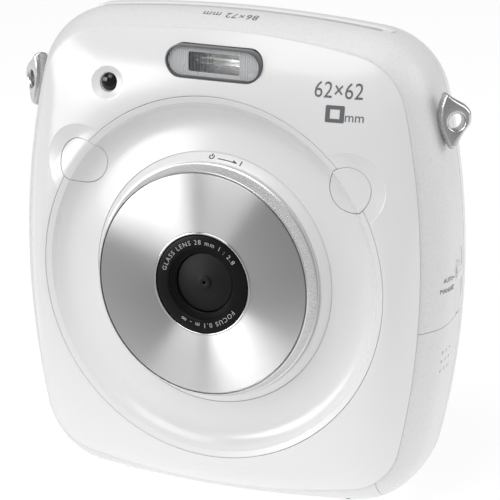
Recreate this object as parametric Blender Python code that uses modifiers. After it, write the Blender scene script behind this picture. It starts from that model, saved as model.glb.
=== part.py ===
"""Square-format instant camera, as separate pieces with their joints at rest.

Units are metres and +Z is up. The front of the camera looks along -Y, the origin is on the
standing surface under the middle of the camera, and the lens axis runs along Y through x = 0.
"""
import math

import bmesh
import bpy
from mathutils import Matrix, Vector

MM = 0.001
GAP = 0.3 * MM          # between pieces that touch on the real camera
WALL = 2.0 * MM         # moulded ABS wall

# Overall heights and depths.
BODY_Z = 64.5 * MM      # centre of the body outline
LENS_Z = 61.0 * MM      # lens axis
DISC_Y = -23.85 * MM    # front of the lens dial
DISH_Y = -18.8 * MM     # plane of the seam round the dish
SEAM_Y = -12.5 * MM     # seam between the front shell and the side band
MAX_Y = -2.3 * MM       # where the body is widest
BAND_REAR_Y = 8.0 * MM  # seam between the side band and the rear frame
REAR_Y = 23.2 * MM      # flat rear face
REAR_TOP_Y = 23.85 * MM  # tops of the dial and keys on the rear face

# Outlines: half width, half height, side arc radius, top arc radius, corner arc radius.
SEAM_OUTLINE = tuple(v * MM for v in (54.8, 59.9, 203.0, 199.0, 16.0))
MAX_OUTLINE = tuple(v * MM for v in (59.4, 63.5, 189.0, 347.0, 20.0))
REAR_OUTLINE = tuple(v * MM for v in (46.2, 50.3, 189.0, 347.0, 15.0))
DOOR_OUTLINE = tuple(v * MM for v in (45.4, 49.6, 189.0, 347.0, 14.3))
OUTLINE_POINTS = 52
FACE_ROLL = 1.9         # how late the front face rolls back towards its seam
BAND_FLARE = 1.6        # how early the band flares out behind the front seam
REAR_ROLL = 2.2         # how late the rear rolls in

# Radii about the lens axis.
DISH_R = 47.5 * MM
BASE_R = 32.9 * MM
RING_R = 30.7 * MM
PLATE_R = 28.7 * MM
BEZEL_R = 12.7 * MM
DISH_BEVEL = (1.7 * MM, 0.4 * MM)              # width and drop of the strip inside the dish's seam
DISH_SAG, DISH_WALL = 3.4 * MM, 1.2 * MM
DISH_FOOT_Y = DISH_Y + 1.9 * MM                # where the dish meets the lens base

FLASH = (27.0 * MM, 7.9 * MM, 116.7 * MM)      # width, height, centre z
SENSOR = (-29.7 * MM, 109.2 * MM)              # centre x, z
BUTTON = (37.2 * MM, 87.85 * MM, 6.1 * MM)     # centre x, z, radius
SLOT = (78.0 * MM, -2.4 * MM, -0.4 * MM)       # length, front y, rear y
LUG = (58.8 * MM, -1.1 * MM, 104.6 * MM)       # centre of the strap hole
SWITCH = (-0.5 * MM, 6.0 * MM, 53.6 * MM, 71.6 * MM)   # recess y and z ranges
BATTERY_DOOR_X = 43.5 * MM
TRIPOD_Y = 2.0 * MM
SCREW_PLACES = ((-22.0 * MM, 2.0 * MM), (22.0 * MM, 2.0 * MM))
FOOT_X, FOOT_YS = 31.0 * MM, (0.4 * MM, 10.4 * MM)
FOOT_R, FOOT_TIP_R = 1.7 * MM, 1.0 * MM
STAND_Z = 0.7 * MM      # height of the feet's tips in these drawing heights

# Film transport, seen along X: the film rises through y = FILM_Y.
FILM_Y = -1.4 * MM
ROLLER_R, ROLLER_Z = 3.0 * MM, 113.0 * MM
ROLLER_PITCH, IDLER_PITCH, PINION_PITCH = 3.2 * MM, 4.4 * MM, 2.2 * MM
TOOTH = 0.4 * MM        # gear module
GEAR_X = -45.2 * MM
IDLER_TO_PINION = math.radians(211.0)

# Rear controls.
DIAL_Z, DIAL_R = 36.0 * MM, 13.0 * MM
KEY_X, KEY_ZS, KEY_R = 32.0 * MM, (52.0 * MM, 38.0 * MM, 24.0 * MM), 3.5 * MM
KEY_NAMES = ("filter", "vignette", "brightness", "print", "playback", "back")
SCREEN = (64.0 * MM, 48.0 * MM, 86.0 * MM)     # width, height, centre z
DOOR_FRONT_Y = 19.6 * MM
HINGE = (46.6 * MM, 22.3 * MM, 0.8 * MM)       # film door pin: x, y, radius

FINISHES = {
    "white_abs": ((0.86, 0.86, 0.87), 0.18, 0.0),
    "grained_band": ((0.80, 0.80, 0.81), 0.55, 0.0),
    "spun_aluminium": ((0.72, 0.73, 0.74), 0.30, 1.0),
    "chrome": ((0.78, 0.79, 0.80), 0.10, 1.0),
    "steel": ((0.55, 0.56, 0.57), 0.35, 1.0),
    "brass": ((0.70, 0.52, 0.22), 0.35, 1.0),
    "black_abs": ((0.02, 0.02, 0.022), 0.35, 0.0),
    "clear": ((0.75, 0.77, 0.78), 0.08, 0.0),
    "dark_glass": ((0.015, 0.016, 0.02), 0.05, 0.0),
    "green_board": ((0.02, 0.16, 0.07), 0.45, 0.0),
    "rubber": ((0.16, 0.16, 0.165), 0.80, 0.0),
    "grey_abs": ((0.45, 0.46, 0.47), 0.40, 0.0),
}

TURN = {"X": (0.0, math.pi / 2, 0.0), "Y": (-math.pi / 2, 0.0, 0.0), "Z": (0.0, 0.0, 0.0)}
FACE = {"X": (math.pi / 2, 0.0, math.pi / 2), "Y": (math.pi / 2, 0.0, 0.0), "Z": (0.0, 0.0, 0.0)}


def clear_scene():
    """Remove every object and make the two collections."""
    for old in list(bpy.data.objects):
        bpy.data.objects.remove(old, do_unlink=True)
    made = {}
    for name in ("instant_camera", "cutters"):
        made[name] = bpy.data.collections.new(name)
        bpy.context.scene.collection.children.link(made[name])
    return made


COLLECTIONS = clear_scene()


def finish_material(finish):
    """The shared Principled material of a finish."""
    material = bpy.data.materials.get(finish)
    if material is None:
        colour, roughness, metallic = FINISHES[finish]
        material = bpy.data.materials.new(finish)
        material.use_nodes = True
        shader = material.node_tree.nodes["Principled BSDF"]
        shader.inputs["Base Color"].default_value = (*colour, 1.0)
        shader.inputs["Roughness"].default_value = roughness
        shader.inputs["Metallic"].default_value = metallic
    return material


def place(piece, name, finish):
    """Name a piece and put it in its collection: a finish makes it a part, none makes it a cutter."""
    piece.name = name
    for old in list(piece.users_collection):
        old.objects.unlink(piece)
    if finish is None:
        COLLECTIONS["cutters"].objects.link(piece)
        piece.hide_render = True
        piece.display_type = "WIRE"
        return piece
    COLLECTIONS["instant_camera"].objects.link(piece)
    piece.data.name = name
    piece.data.materials.clear()
    piece.data.materials.append(finish_material(finish))
    return piece


def bevel(piece, width, segments=1):
    """Round a piece's sharp edges."""
    rounding = piece.modifiers.new("rounding", "BEVEL")
    rounding.width = width
    rounding.segments = segments
    rounding.limit_method = "ANGLE"
    rounding.angle_limit = math.radians(40.0)
    return piece


def cut(piece, *cutters, operation="DIFFERENCE"):
    """Cut a piece with each cutter in turn."""
    for cutter in cutters:
        boolean = piece.modifiers.new(cutter.name, "BOOLEAN")
        boolean.operation = operation
        boolean.object = cutter
    return piece


def box(name, low, high, finish=None):
    """A box between two corners."""
    low, high = Vector(low), Vector(high)
    bpy.ops.mesh.primitive_cube_add(size=1.0, location=(low + high) / 2)
    piece = bpy.context.object
    piece.scale = high - low
    bpy.ops.object.transform_apply(location=False, rotation=False, scale=True)
    return place(piece, name, finish)


def cylinder(name, radius, start, length, axis, finish=None, sides=28):
    """A cylinder from the middle of its low end along +X, +Y or +Z."""
    middle = Vector(start)
    middle["XYZ".index(axis)] += length / 2
    bpy.ops.mesh.primitive_cylinder_add(vertices=sides, radius=radius, depth=length,
                                        location=middle, rotation=TURN[axis])
    piece = bpy.context.object
    piece.data.shade_smooth()
    piece.data.set_sharp_from_angle(angle=math.radians(40.0))
    return place(piece, name, finish)


def turned(name, profile, at, axis, finish=None, steps=32):
    """A profile of (radius, height) points turned about an axis through a point.

    Heights run along the axis from the point. A profile that starts and ends at radius 0 closes on
    the axis, and any other closes on itself.
    """
    profile = list(profile)
    area = sum(a[0] * b[1] - b[0] * a[1] for a, b in zip(profile, profile[1:] + profile[:1]))
    if area > 0.0:
        profile.reverse()
    on_axis = profile[0][0] == 0.0 and profile[-1][0] == 0.0
    count = len(profile)
    edges = [(k, k + 1) for k in range(count - 1)] + ([] if on_axis else [(count - 1, 0)])
    mesh = bpy.data.meshes.new(name)
    mesh.from_pydata([(radius, 0.0, height) for radius, height in profile], edges, [])
    piece = bpy.data.objects.new(name, mesh)
    bpy.context.scene.collection.objects.link(piece)
    piece.location = at
    piece.rotation_euler = TURN[axis]
    screw = piece.modifiers.new("turn", "SCREW")
    screw.steps = screw.render_steps = steps
    screw.use_merge_vertices = True
    screw.merge_threshold = 0.01 * MM
    return place(piece, name, finish)


def plate(name, outline, at, thickness, facing, finish=None):
    """A flat outline given thickness about a point, facing along X, Y or Z.

    The outline's points are (x, z) when it faces Y, (y, z) when it faces X and (x, y) when it faces Z.
    """
    curve = bpy.data.curves.new(name, "CURVE")
    curve.dimensions = "2D"
    curve.fill_mode = "BOTH"
    curve.extrude = thickness / 2
    spline = curve.splines.new("POLY")
    spline.points.add(len(outline) - 1)
    for point, (u, v) in zip(spline.points, outline):
        point.co = (u, v, 0.0, 1.0)
    spline.use_cyclic_u = True
    drawn = bpy.data.objects.new(name + "_outline", curve)
    bpy.context.scene.collection.objects.link(drawn)
    drawn.location = at
    drawn.rotation_euler = FACE[facing]
    bpy.context.view_layer.update()
    evaluated = drawn.evaluated_get(bpy.context.evaluated_depsgraph_get())
    mesh = bpy.data.meshes.new_from_object(evaluated)
    solid = bmesh.new()
    solid.from_mesh(mesh)
    bmesh.ops.remove_doubles(solid, verts=solid.verts, dist=0.001 * MM)
    bmesh.ops.recalc_face_normals(solid, faces=solid.faces)
    solid.to_mesh(mesh)
    solid.free()
    piece = bpy.data.objects.new(name, mesh)
    bpy.context.scene.collection.objects.link(piece)
    piece.matrix_world = drawn.matrix_world.copy()
    bpy.data.objects.remove(drawn, do_unlink=True)
    return place(piece, name, finish)


def loft(name, rings, finish=None):
    """A closed tube of wall through rings of points, with the last ring joined to the first."""
    solid = bmesh.new()
    loops = [[solid.verts.new(point) for point in ring] for ring in rings]
    for loop, following in zip(loops, loops[1:] + loops[:1]):
        for k, vertex in enumerate(loop):
            m = (k + 1) % len(loop)
            solid.faces.new((vertex, loop[m], following[m], following[k]))
    bmesh.ops.recalc_face_normals(solid, faces=solid.faces)
    mesh = bpy.data.meshes.new(name)
    solid.to_mesh(mesh)
    solid.free()
    mesh.shade_smooth()
    mesh.set_sharp_from_angle(angle=math.radians(35.0))
    piece = bpy.data.objects.new(name, mesh)
    bpy.context.scene.collection.objects.link(piece)
    return place(piece, name, finish)


def pivot(name, at, *pieces):
    """An empty on a joint's axis, with the pieces that move about it as its children."""
    empty = bpy.data.objects.new("pivot_" + name, None)
    empty.empty_display_size = 5.0 * MM
    empty.location = at
    COLLECTIONS["instant_camera"].objects.link(empty)
    for piece in pieces:
        piece.parent = empty
        piece.matrix_parent_inverse = Matrix.Translation(at).inverted()
    return empty


def arc(centre, radius, start, end, count):
    """Points along an arc, with its angles in degrees."""
    steps = (math.radians(start + (end - start) * k / (count - 1)) for k in range(count))
    return [(centre[0] + radius * math.cos(t), centre[1] + radius * math.sin(t)) for t in steps]


def rounded_box_outline(width, height, radius, count=7):
    """A rectangle about the origin with round corners."""
    points = []
    for sign_x, sign_z, start in ((1, 1, 0), (-1, 1, 90), (-1, -1, 180), (1, -1, 270)):
        centre = (sign_x * (width / 2 - radius), sign_z * (height / 2 - radius))
        points += arc(centre, radius, start, start + 90, count)
    return points


def outline_radius(outline, angle):
    """Distance from the middle to the body outline, which has wide arcs for sides and tight corners."""
    half_w, half_h, side_r, top_r, corner_r = outline
    c, s = abs(math.cos(angle)), abs(math.sin(angle))
    side, top = Vector((half_w - side_r, 0.0)), Vector((0.0, half_h - top_r))
    near, far = side_r - corner_r, top_r - corner_r
    span = (top - side).length
    along = (near ** 2 - far ** 2 + span ** 2) / (2 * span)
    ahead = (top - side) / span
    corner = side + ahead * along + Vector((-ahead.y, ahead.x)) * math.sqrt(near ** 2 - along ** 2)
    side_end = corner + (corner - side).normalized() * corner_r
    top_end = corner + (corner - top).normalized() * corner_r
    if math.atan2(s, c) < math.atan2(side_end.y, side_end.x):
        centre, radius = side, side_r
    elif math.atan2(s, c) > math.atan2(top_end.y, top_end.x):
        centre, radius = top, top_r
    else:
        centre, radius = corner, corner_r
    b = c * centre.x + s * centre.y
    return b + math.sqrt(b * b - centre.length_squared + radius * radius)


def inset(outline, distance):
    """An outline moved inwards."""
    return tuple(value - distance for value in outline)


def mix(first, second, t):
    """An outline part of the way from one to another."""
    return tuple(a + (b - a) * t for a, b in zip(first, second))


def outline_ring(outline, y):
    """The outline as a ring of points across the body."""
    ring = []
    for k in range(OUTLINE_POINTS):
        angle = 2 * math.pi * (k + 0.5) / OUTLINE_POINTS
        radius = outline_radius(outline, angle)
        ring.append((radius * math.cos(angle), y, BODY_Z + radius * math.sin(angle)))
    return ring


def face_ring(outline, t, wall):
    """A ring of the front face, t of the way from the dish's seam to the outer seam."""
    y = DISH_Y + (SEAM_Y - DISH_Y) * t ** FACE_ROLL + wall * (1.0 - t)
    ring = []
    for k, outer in enumerate(outline_ring(inset(outline, wall), y)):
        angle = 2 * math.pi * (k + 0.5) / OUTLINE_POINTS
        inner = Vector((DISH_R * math.cos(angle), y, LENS_Z + DISH_R * math.sin(angle)))
        ring.append(inner.lerp(Vector(outer), t))
    return ring


def band_outline(y):
    """The body's outline between the front seam and the rear face."""
    if y <= MAX_Y:
        s = (y - SEAM_Y) / (MAX_Y - SEAM_Y)
        return mix(SEAM_OUTLINE, MAX_OUTLINE, 1.0 - (1.0 - s) ** BAND_FLARE)
    s = min(1.0, (y - MAX_Y) / (REAR_Y - MAX_Y))
    return mix(MAX_OUTLINE, REAR_OUTLINE, 1.0 - (1.0 - s ** REAR_ROLL) ** (1 / REAR_ROLL))


def shell_rings(ys):
    """Rings of a shell that follows the body: its outer face to the rear, then its inner face back."""
    outer = [outline_ring(band_outline(y), y) for y in ys]
    inner = [outline_ring(inset(band_outline(y), WALL), y) for y in reversed(ys)]
    return outer + inner


def front_shell():
    """The glossy front of the body, from the dish's seam to the band."""
    outer = [face_ring(SEAM_OUTLINE, t, 0.0) for t in (0.0, 0.3, 0.6, 0.8, 1.0)]
    inner = [face_ring(SEAM_OUTLINE, t, WALL) for t in (1.0, 0.6, 0.0)]
    shell = loft("front_shell", outer + inner, "white_abs")
    width, height, z = FLASH
    opening = rounded_box_outline(width + 2 * GAP, height + 2 * GAP, height / 2)
    cut(shell, plate("flash_opening", opening, (0.0, -15.0 * MM, z), 16.0 * MM, "Y"))
    cut(shell, cylinder("sensor_opening", 2.6 * MM, (SENSOR[0], -25.0 * MM, SENSOR[1]), 20.0 * MM, "Y"))
    for side, sign in (("left", -1), ("right", 1)):
        x, z, radius = BUTTON
        cut(shell, cylinder("button_opening_" + side, radius + GAP, (sign * x, -25.0 * MM, z), 20.0 * MM,
                            "Y"))
    return shell


def dish_profile():
    """The dished ring: bevelled rim, hollow channel, then the seam with the lens base."""
    crease = (DISH_R - DISH_BEVEL[0], DISH_Y + DISH_BEVEL[1])
    foot = (BASE_R + GAP, DISH_FOOT_Y)
    channel = []
    for k in range(6):
        t = k / 5
        sag = DISH_SAG * math.sin(math.pi * t)
        channel.append((crease[0] + (foot[0] - crease[0]) * t, crease[1] + (foot[1] - crease[1]) * t + sag))
    front = [(DISH_R - GAP, DISH_Y)] + channel
    back = [(radius, y + DISH_WALL) for radius, y in reversed(front)]
    return front + back


def lens_unit():
    """The dish and everything turned about the lens axis."""
    axis = (0.0, 0.0, LENS_Z)
    dish = turned("dish_panel", dish_profile(), axis, "Y", "white_abs", 48)
    x, z, radius = BUTTON
    for side, sign in (("left", -1), ("right", 1)):
        cut(dish, cylinder("dish_notch_" + side, radius + GAP, (sign * x, -25.0 * MM, z), 20.0 * MM, "Y"))
    base_y, front = -19.15 * MM, DISC_Y
    turned("lens_base_ring",
           [(12.9 * MM, base_y), (31.0 * MM, base_y), (BASE_R, DISH_FOOT_Y), (BASE_R, -13.1 * MM),
            (30.9 * MM, -13.1 * MM), (30.9 * MM, -17.2 * MM), (12.9 * MM, -17.2 * MM)],
           axis, "Y", "white_abs", 40)
    ring = turned("power_ring",
                  [(29.0 * MM, front + 0.1 * MM), (29.3 * MM, front + 0.1 * MM), (RING_R, base_y - GAP),
                   (26.0 * MM, base_y - GAP), (26.0 * MM, -22.5 * MM), (29.0 * MM, -22.5 * MM)],
                  axis, "Y", "spun_aluminium", 40)
    face = turned("lens_face_plate",
                  [(13.1 * MM, front), (PLATE_R, front), (PLATE_R, -22.85 * MM), (13.1 * MM, -22.85 * MM)],
                  axis, "Y", "spun_aluminium", 40)
    pivot("power_dial", axis, ring, face)
    turned("lens_bezel",
           [(BEZEL_R, front + 0.3 * MM), (12.2 * MM, front), (9.6 * MM, front), (8.9 * MM, -23.0 * MM),
            (7.9 * MM, -22.6 * MM), (7.9 * MM, -20.2 * MM), (BEZEL_R, -20.2 * MM)],
           axis, "Y", "black_abs")
    turned("lens_cover_disc",
           [(0.5 * MM, -22.4 * MM), (1.7 * MM, -22.4 * MM), (1.9 * MM, -21.95 * MM), (7.6 * MM, -21.95 * MM),
            (7.6 * MM, -20.9 * MM), (0.5 * MM, -20.9 * MM)],
           axis, "Y", "black_abs", 24)
    turned("lens_barrel",
           [(6.6 * MM, -19.9 * MM), (12.4 * MM, -19.9 * MM), (12.4 * MM, -9.5 * MM), (5.0 * MM, -9.5 * MM),
            (5.0 * MM, -10.7 * MM), (6.6 * MM, -10.7 * MM)],
           axis, "Y", "black_abs", 24)
    group = turned("focus_lens_group",
                   [(0.0, -17.9 * MM), (3.5 * MM, -17.4 * MM), (6.2 * MM, -17.1 * MM), (6.2 * MM, -14.3 * MM),
                    (3.5 * MM, -14.0 * MM), (0.0, -13.5 * MM)],
                   axis, "Y", "clear", 20)
    pivot("focus_group", axis, group)
    board = box("image_sensor_board", (-12.0 * MM, -9.1 * MM, LENS_Z - 12.0 * MM),
                (12.0 * MM, -8.1 * MM, LENS_Z + 12.0 * MM), "green_board")
    return bevel(board, 0.3 * MM)


def flash_unit():
    """The flash window with the reflector and tube behind it, and the light sensor beside it."""
    width, height, z = FLASH
    outline = rounded_box_outline(width, height, height / 2 - 0.01 * MM)
    bevel(plate("flash_window", outline, (0.0, -16.4 * MM, z), 2.0 * MM, "Y", "clear"), 0.4 * MM)
    reflector = box("flash_reflector", (-9.0 * MM, -15.0 * MM, z - 3.6 * MM),
                    (9.0 * MM, -10.4 * MM, z + 3.6 * MM), "chrome")
    cut(reflector, cylinder("reflector_trough", 2.9 * MM, (-10.0 * MM, -15.0 * MM, z), 20.0 * MM, "X"))
    cylinder("flash_tube", 0.9 * MM, (-8.6 * MM, -14.0 * MM, z), 17.2 * MM, "X", "clear", 16)
    turned("light_sensor_window",
           [(0.0, -17.7 * MM), (1.2 * MM, -17.5 * MM), (2.0 * MM, -16.9 * MM), (2.3 * MM, -16.2 * MM),
            (2.3 * MM, -12.9 * MM), (0.0, -12.9 * MM)],
           (SENSOR[0], 0.0, SENSOR[1]), "Y", "dark_glass", 24)


def shutter_buttons():
    """The two round buttons that straddle the dish's seam."""
    x, z, radius = BUTTON
    for side, sign in (("left", -1), ("right", 1)):
        button = cylinder("shutter_button_" + side, radius, (sign * x, -19.2 * MM, z), 8.0 * MM, "Y",
                          "white_abs")
        bevel(button, 0.5 * MM)
        pivot("shutter_button_" + side, (sign * x, -19.2 * MM, z), button)


def battery_door_region(name, gap):
    """The lower right corner of the band, where the battery door is, less a gap all round."""
    top = [(SEAM_Y - 8.0 * MM, 50.6 * MM), (SEAM_Y, 51.0 * MM), (MAX_Y, 52.4 * MM), (6.0 * MM, 54.6 * MM)]
    outline = [(y - (gap if y > 0.0 else 0.0), z - gap) for y, z in top]
    outline += [(6.0 * MM - gap, -5.0 * MM), (SEAM_Y - 8.0 * MM, -5.0 * MM)]
    middle = (BATTERY_DOOR_X + gap + 75.0 * MM) / 2
    return plate(name, outline, (middle, 0.0, 0.0), 75.0 * MM - BATTERY_DOOR_X - gap, "X")


def foot_openings(shell, end, y):
    """Openings for a pair of feet through the underside of a shell."""
    for side, sign in (("left", -1), ("right", 1)):
        cut(shell, cylinder(f"foot_opening_{end}_{side}", FOOT_R + GAP, (sign * FOOT_X, y, -1.0 * MM),
                            12.0 * MM, "Z"))


def side_band():
    """The grained band round the sides, with the battery door cut out of its corner."""
    ys = [SEAM_Y + GAP + (MAX_Y - SEAM_Y - GAP) * k / 3 for k in range(4)]
    ys += [MAX_Y + (BAND_REAR_Y - MAX_Y) * k / 2 for k in (1, 2)]
    band = loft("mid_band", shell_rings(ys), "grained_band")
    length, front, rear = SLOT
    cut(band, box("slot_cutter", (-length / 2, front, 118.0 * MM), (length / 2, rear, 135.0 * MM)))
    cut(band, box("lip_cutter", (-length / 2 - 2.3 * MM, rear, 118.0 * MM),
                  (length / 2 + 2.3 * MM, rear + 3.9 * MM, 135.0 * MM)))
    y0, y1, z0, z1 = SWITCH
    cut(band, box("switch_cutter", (58.0 * MM, y0, z0), (70.0 * MM, y1, z1)))
    for side, sign in (("left", -1), ("right", 1)):
        x = sign * LUG[0]
        cut(band, box("lug_cutter_" + side,
                      (min(sign * 48.0 * MM, x), LUG[1] - 2.3 * MM, LUG[2] - 7.4 * MM),
                      (max(sign * 48.0 * MM, x), LUG[1] + 2.3 * MM, LUG[2] + 6.6 * MM)))
    cut(band, cylinder("tripod_opening", 5.8 * MM, (0.0, TRIPOD_Y, -1.0 * MM), 12.0 * MM, "Z"))
    for k, (x, y) in enumerate(SCREW_PLACES):
        cut(band, cylinder(f"screw_opening_{k}", 2.0 * MM, (x, y, -1.0 * MM), 12.0 * MM, "Z"))
    foot_openings(band, "front", FOOT_YS[0])
    cut(band, battery_door_region("battery_opening", 0.0))
    door = loft("battery_door", shell_rings(ys), "grained_band")
    cut(door, battery_door_region("battery_door_shape", GAP), operation="INTERSECT")
    pivot("battery_door", (BATTERY_DOOR_X + GAP, -3.0 * MM, 2.6 * MM), door)


def switch_and_lugs():
    """The mode switch in its recess and the two chrome strap lugs."""
    y0, y1 = SWITCH[:2]
    knob = box("mode_switch_knob", (58.3 * MM, y0 + 1.0 * MM, 62.6 * MM),
               (60.3 * MM, y1 - 1.0 * MM, 67.6 * MM), "white_abs")
    bevel(knob, 0.5 * MM)
    pivot("mode_switch", (58.3 * MM, (y0 + y1) / 2, 65.1 * MM), knob)
    fin = [(-8.0, 6.2), (-3.0, 6.2), (-1.6, 4.7), (0.6, 3.7)] + arc((1.0, 1.0), 2.55, 75, -20, 6)
    fin += [(2.4, -2.4), (0.6, -4.8), (-0.6, -7.0), (-8.0, -7.0)]
    for side, sign in (("left", -1), ("right", 1)):
        outline = [(sign * x * MM, z * MM) for x, z in fin]
        lug = plate("strap_lug_" + side, outline, (sign * LUG[0], LUG[1], LUG[2]), 3.8 * MM, "Y", "chrome")
        hole = cylinder("strap_hole_" + side, 2.0 * MM, (sign * LUG[0], LUG[1] - 5.0 * MM, LUG[2]),
                        10.0 * MM, "Y")
        cut(lug, hole)


def rear_frame():
    """The rear of the shell, with a rim that the film door sits in."""
    ys = [BAND_REAR_Y + GAP, 14.0 * MM, 18.5 * MM]
    outer = [outline_ring(band_outline(y), y) for y in ys + [21.7 * MM, REAR_Y]]
    opening = inset(DOOR_OUTLINE, -GAP)
    rim = [outline_ring(opening, y) for y in (REAR_Y, DOOR_FRONT_Y)]
    inner = [outline_ring(inset(band_outline(y), WALL), y) for y in reversed(ys)]
    frame = loft("rear_frame", outer + rim + inner, "white_abs")
    cut(frame, box("hinge_opening", (40.0 * MM, HINGE[1] - 1.4 * MM, BODY_Z - 31.0 * MM),
                   (HINGE[0] + 1.2 * MM, 30.0 * MM, BODY_Z + 31.0 * MM)))
    foot_openings(frame, "rear", FOOT_YS[1])


def film_door():
    """The rear door with the screen, the dial and the keys."""
    outline = [(x, z - BODY_Z) for x, _, z in outline_ring(DOOR_OUTLINE, 0.0)]
    depth = REAR_Y - DOOR_FRONT_Y
    door = plate("film_door", outline, (0.0, DOOR_FRONT_Y + depth / 2, BODY_Z), depth, "Y", "white_abs")
    width, height, z = SCREEN
    cut(door, plate("screen_opening", rounded_box_outline(width, height, 2.0 * MM, 4),
                    (0.0, REAR_Y, z), 12.0 * MM, "Y"))
    cut(door, cylinder("dial_opening", DIAL_R + GAP, (0.0, 15.0 * MM, DIAL_Z), 12.0 * MM, "Y"))
    cut(door, box("latch_opening", (-43.2 * MM, 21.0 * MM, 57.0 * MM), (-38.4 * MM, 25.0 * MM, 72.4 * MM)))
    pieces = [door]
    pieces.append(plate("lcd_window", rounded_box_outline(width - 2 * GAP, height - 2 * GAP, 1.7 * MM, 4),
                        (0.0, REAR_Y - 0.9 * MM, z), 1.4 * MM, "Y", "dark_glass"))
    pieces.append(box("lcd_module", (-33.0 * MM, 16.3 * MM, z - 25.0 * MM),
                      (33.0 * MM, DOOR_FRONT_Y - GAP, z + 25.0 * MM), "steel"))
    hinge = pivot("film_door", (HINGE[0], HINGE[1], BODY_Z), *pieces)
    latch = box("film_door_latch", (-42.9 * MM, 21.3 * MM, 57.3 * MM), (-38.7 * MM, 23.6 * MM, 68.6 * MM),
                "grey_abs")
    bevel(latch, 0.4 * MM)
    ride_on(hinge, "film_door_latch", (-40.8 * MM, 21.3 * MM, 63.0 * MM), latch)
    rear_controls(door, hinge)
    cylinder("film_door_pin", HINGE[2], (HINGE[0], HINGE[1], BODY_Z - 30.5 * MM), 61.0 * MM, "Z", "steel", 16)


def ride_on(hinge, name, at, piece):
    """A moving piece whose own pivot is carried by another pivot."""
    carried = pivot(name, at, piece)
    carried.parent = hinge
    carried.matrix_parent_inverse = hinge.matrix_basis.inverted()


def rear_controls(door, hinge):
    """The command dial round the OK button, and three keys on each side."""
    dial = turned("command_dial",
                  [(7.2 * MM, 23.3 * MM), (8.0 * MM, REAR_TOP_Y), (12.2 * MM, REAR_TOP_Y),
                   (DIAL_R, 23.2 * MM), (DIAL_R, 20.6 * MM), (7.2 * MM, 20.6 * MM)],
                  (0.0, 0.0, DIAL_Z), "Y", "grey_abs")
    ride_on(hinge, "command_dial", (0.0, REAR_Y, DIAL_Z), dial)
    button = cylinder("ok_button", 6.6 * MM, (0.0, 20.6 * MM, DIAL_Z), 3.0 * MM, "Y", "white_abs")
    ride_on(hinge, "ok_button", (0.0, REAR_Y, DIAL_Z), bevel(button, 0.4 * MM))
    places = [(sign * KEY_X, z) for sign in (-1, 1) for z in KEY_ZS]
    for label, (x, z) in zip(KEY_NAMES, places):
        cut(door, cylinder(label + "_opening", KEY_R + GAP, (x, 15.0 * MM, z), 12.0 * MM, "Y", sides=24))
        key = cylinder(label + "_key", KEY_R, (x, 20.4 * MM, z), 3.2 * MM, "Y", "white_abs", 20)
        ride_on(hinge, label + "_key", (x, REAR_Y, z), bevel(key, 0.4 * MM))


def gear_outline(pitch):
    """A gear's outline, kept just clear of the gears it meshes with."""
    teeth = round(2 * pitch / TOOTH)
    top, root = pitch - 0.12 * MM, pitch - 0.8 * MM
    points = []
    for k in range(teeth):
        for part, radius in ((0.1, root), (0.4, root), (0.6, top), (0.9, top)):
            angle = 2 * math.pi * (k + part) / teeth
            points.append((radius * math.cos(angle), radius * math.sin(angle)))
    return points


def film_transport():
    """Chamber, pack, claw, rollers and the gear train that drives them."""
    chamber = box("film_chamber", (-41.0 * MM, -5.6 * MM, 9.5 * MM), (41.0 * MM, 14.0 * MM, 107.5 * MM),
                  "black_abs")
    cut(chamber, box("chamber_hollow", (-39.5 * MM, -4.4 * MM, 11.0 * MM),
                     (39.5 * MM, 20.0 * MM, 106.0 * MM)))
    cut(chamber, box("chamber_slot", (-38.0 * MM, -2.6 * MM, 100.0 * MM), (38.0 * MM, -0.2 * MM, 110.0 * MM)))
    pack = box("film_pack", (-39.0 * MM, -3.9 * MM, 11.4 * MM), (39.0 * MM, 12.5 * MM, 105.6 * MM),
               "black_abs")
    cut(pack, box("image_window", (-31.0 * MM, -6.0 * MM, 28.0 * MM), (31.0 * MM, -3.2 * MM, 90.0 * MM)))
    bevel(pack, 0.8 * MM)
    claw = box("film_claw", (42.0 * MM, -2.5 * MM, 84.0 * MM), (43.6 * MM, 0.5 * MM, 94.0 * MM), "steel")
    pivot("film_claw", (42.8 * MM, -1.0 * MM, 84.0 * MM), claw)
    for name, side in (("front", -1), ("rear", 1)):
        y = FILM_Y + side * (ROLLER_R + 0.2 * MM)
        roller = turned("eject_roller_" + name,
                        [(0.0, -42.5 * MM), (1.2 * MM, -42.5 * MM), (1.2 * MM, -37.0 * MM),
                         (ROLLER_R, -37.0 * MM), (ROLLER_R, 37.0 * MM), (1.2 * MM, 37.0 * MM),
                         (1.2 * MM, 42.5 * MM), (0.0, 42.5 * MM)],
                        (0.0, y, ROLLER_Z), "X", "steel", 24)
        gear = plate(f"roller_gear_{name}", gear_outline(ROLLER_PITCH), (GEAR_X, y, ROLLER_Z), 2.4 * MM,
                     "X", "brass")
        pivot("eject_roller_" + name, (0.0, y, ROLLER_Z), roller, gear)
    front_y = FILM_Y - ROLLER_R - 0.2 * MM
    idler = Vector((GEAR_X, front_y, ROLLER_Z - ROLLER_PITCH - IDLER_PITCH))
    reach = IDLER_PITCH + PINION_PITCH
    pinion = idler + Vector((0.0, reach * math.cos(IDLER_TO_PINION), reach * math.sin(IDLER_TO_PINION)))
    pivot("idler_gear", idler,
          plate("idler_gear", gear_outline(IDLER_PITCH), idler, 2.4 * MM, "X", "white_abs"))
    pivot("motor_pinion", pinion,
          plate("motor_pinion", gear_outline(PINION_PITCH), pinion, 2.4 * MM, "X", "brass"))
    cylinder("drive_motor", 4.0 * MM, (GEAR_X + 1.6 * MM, pinion.y, pinion.z), 17.0 * MM, "X", "steel", 24)


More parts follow.
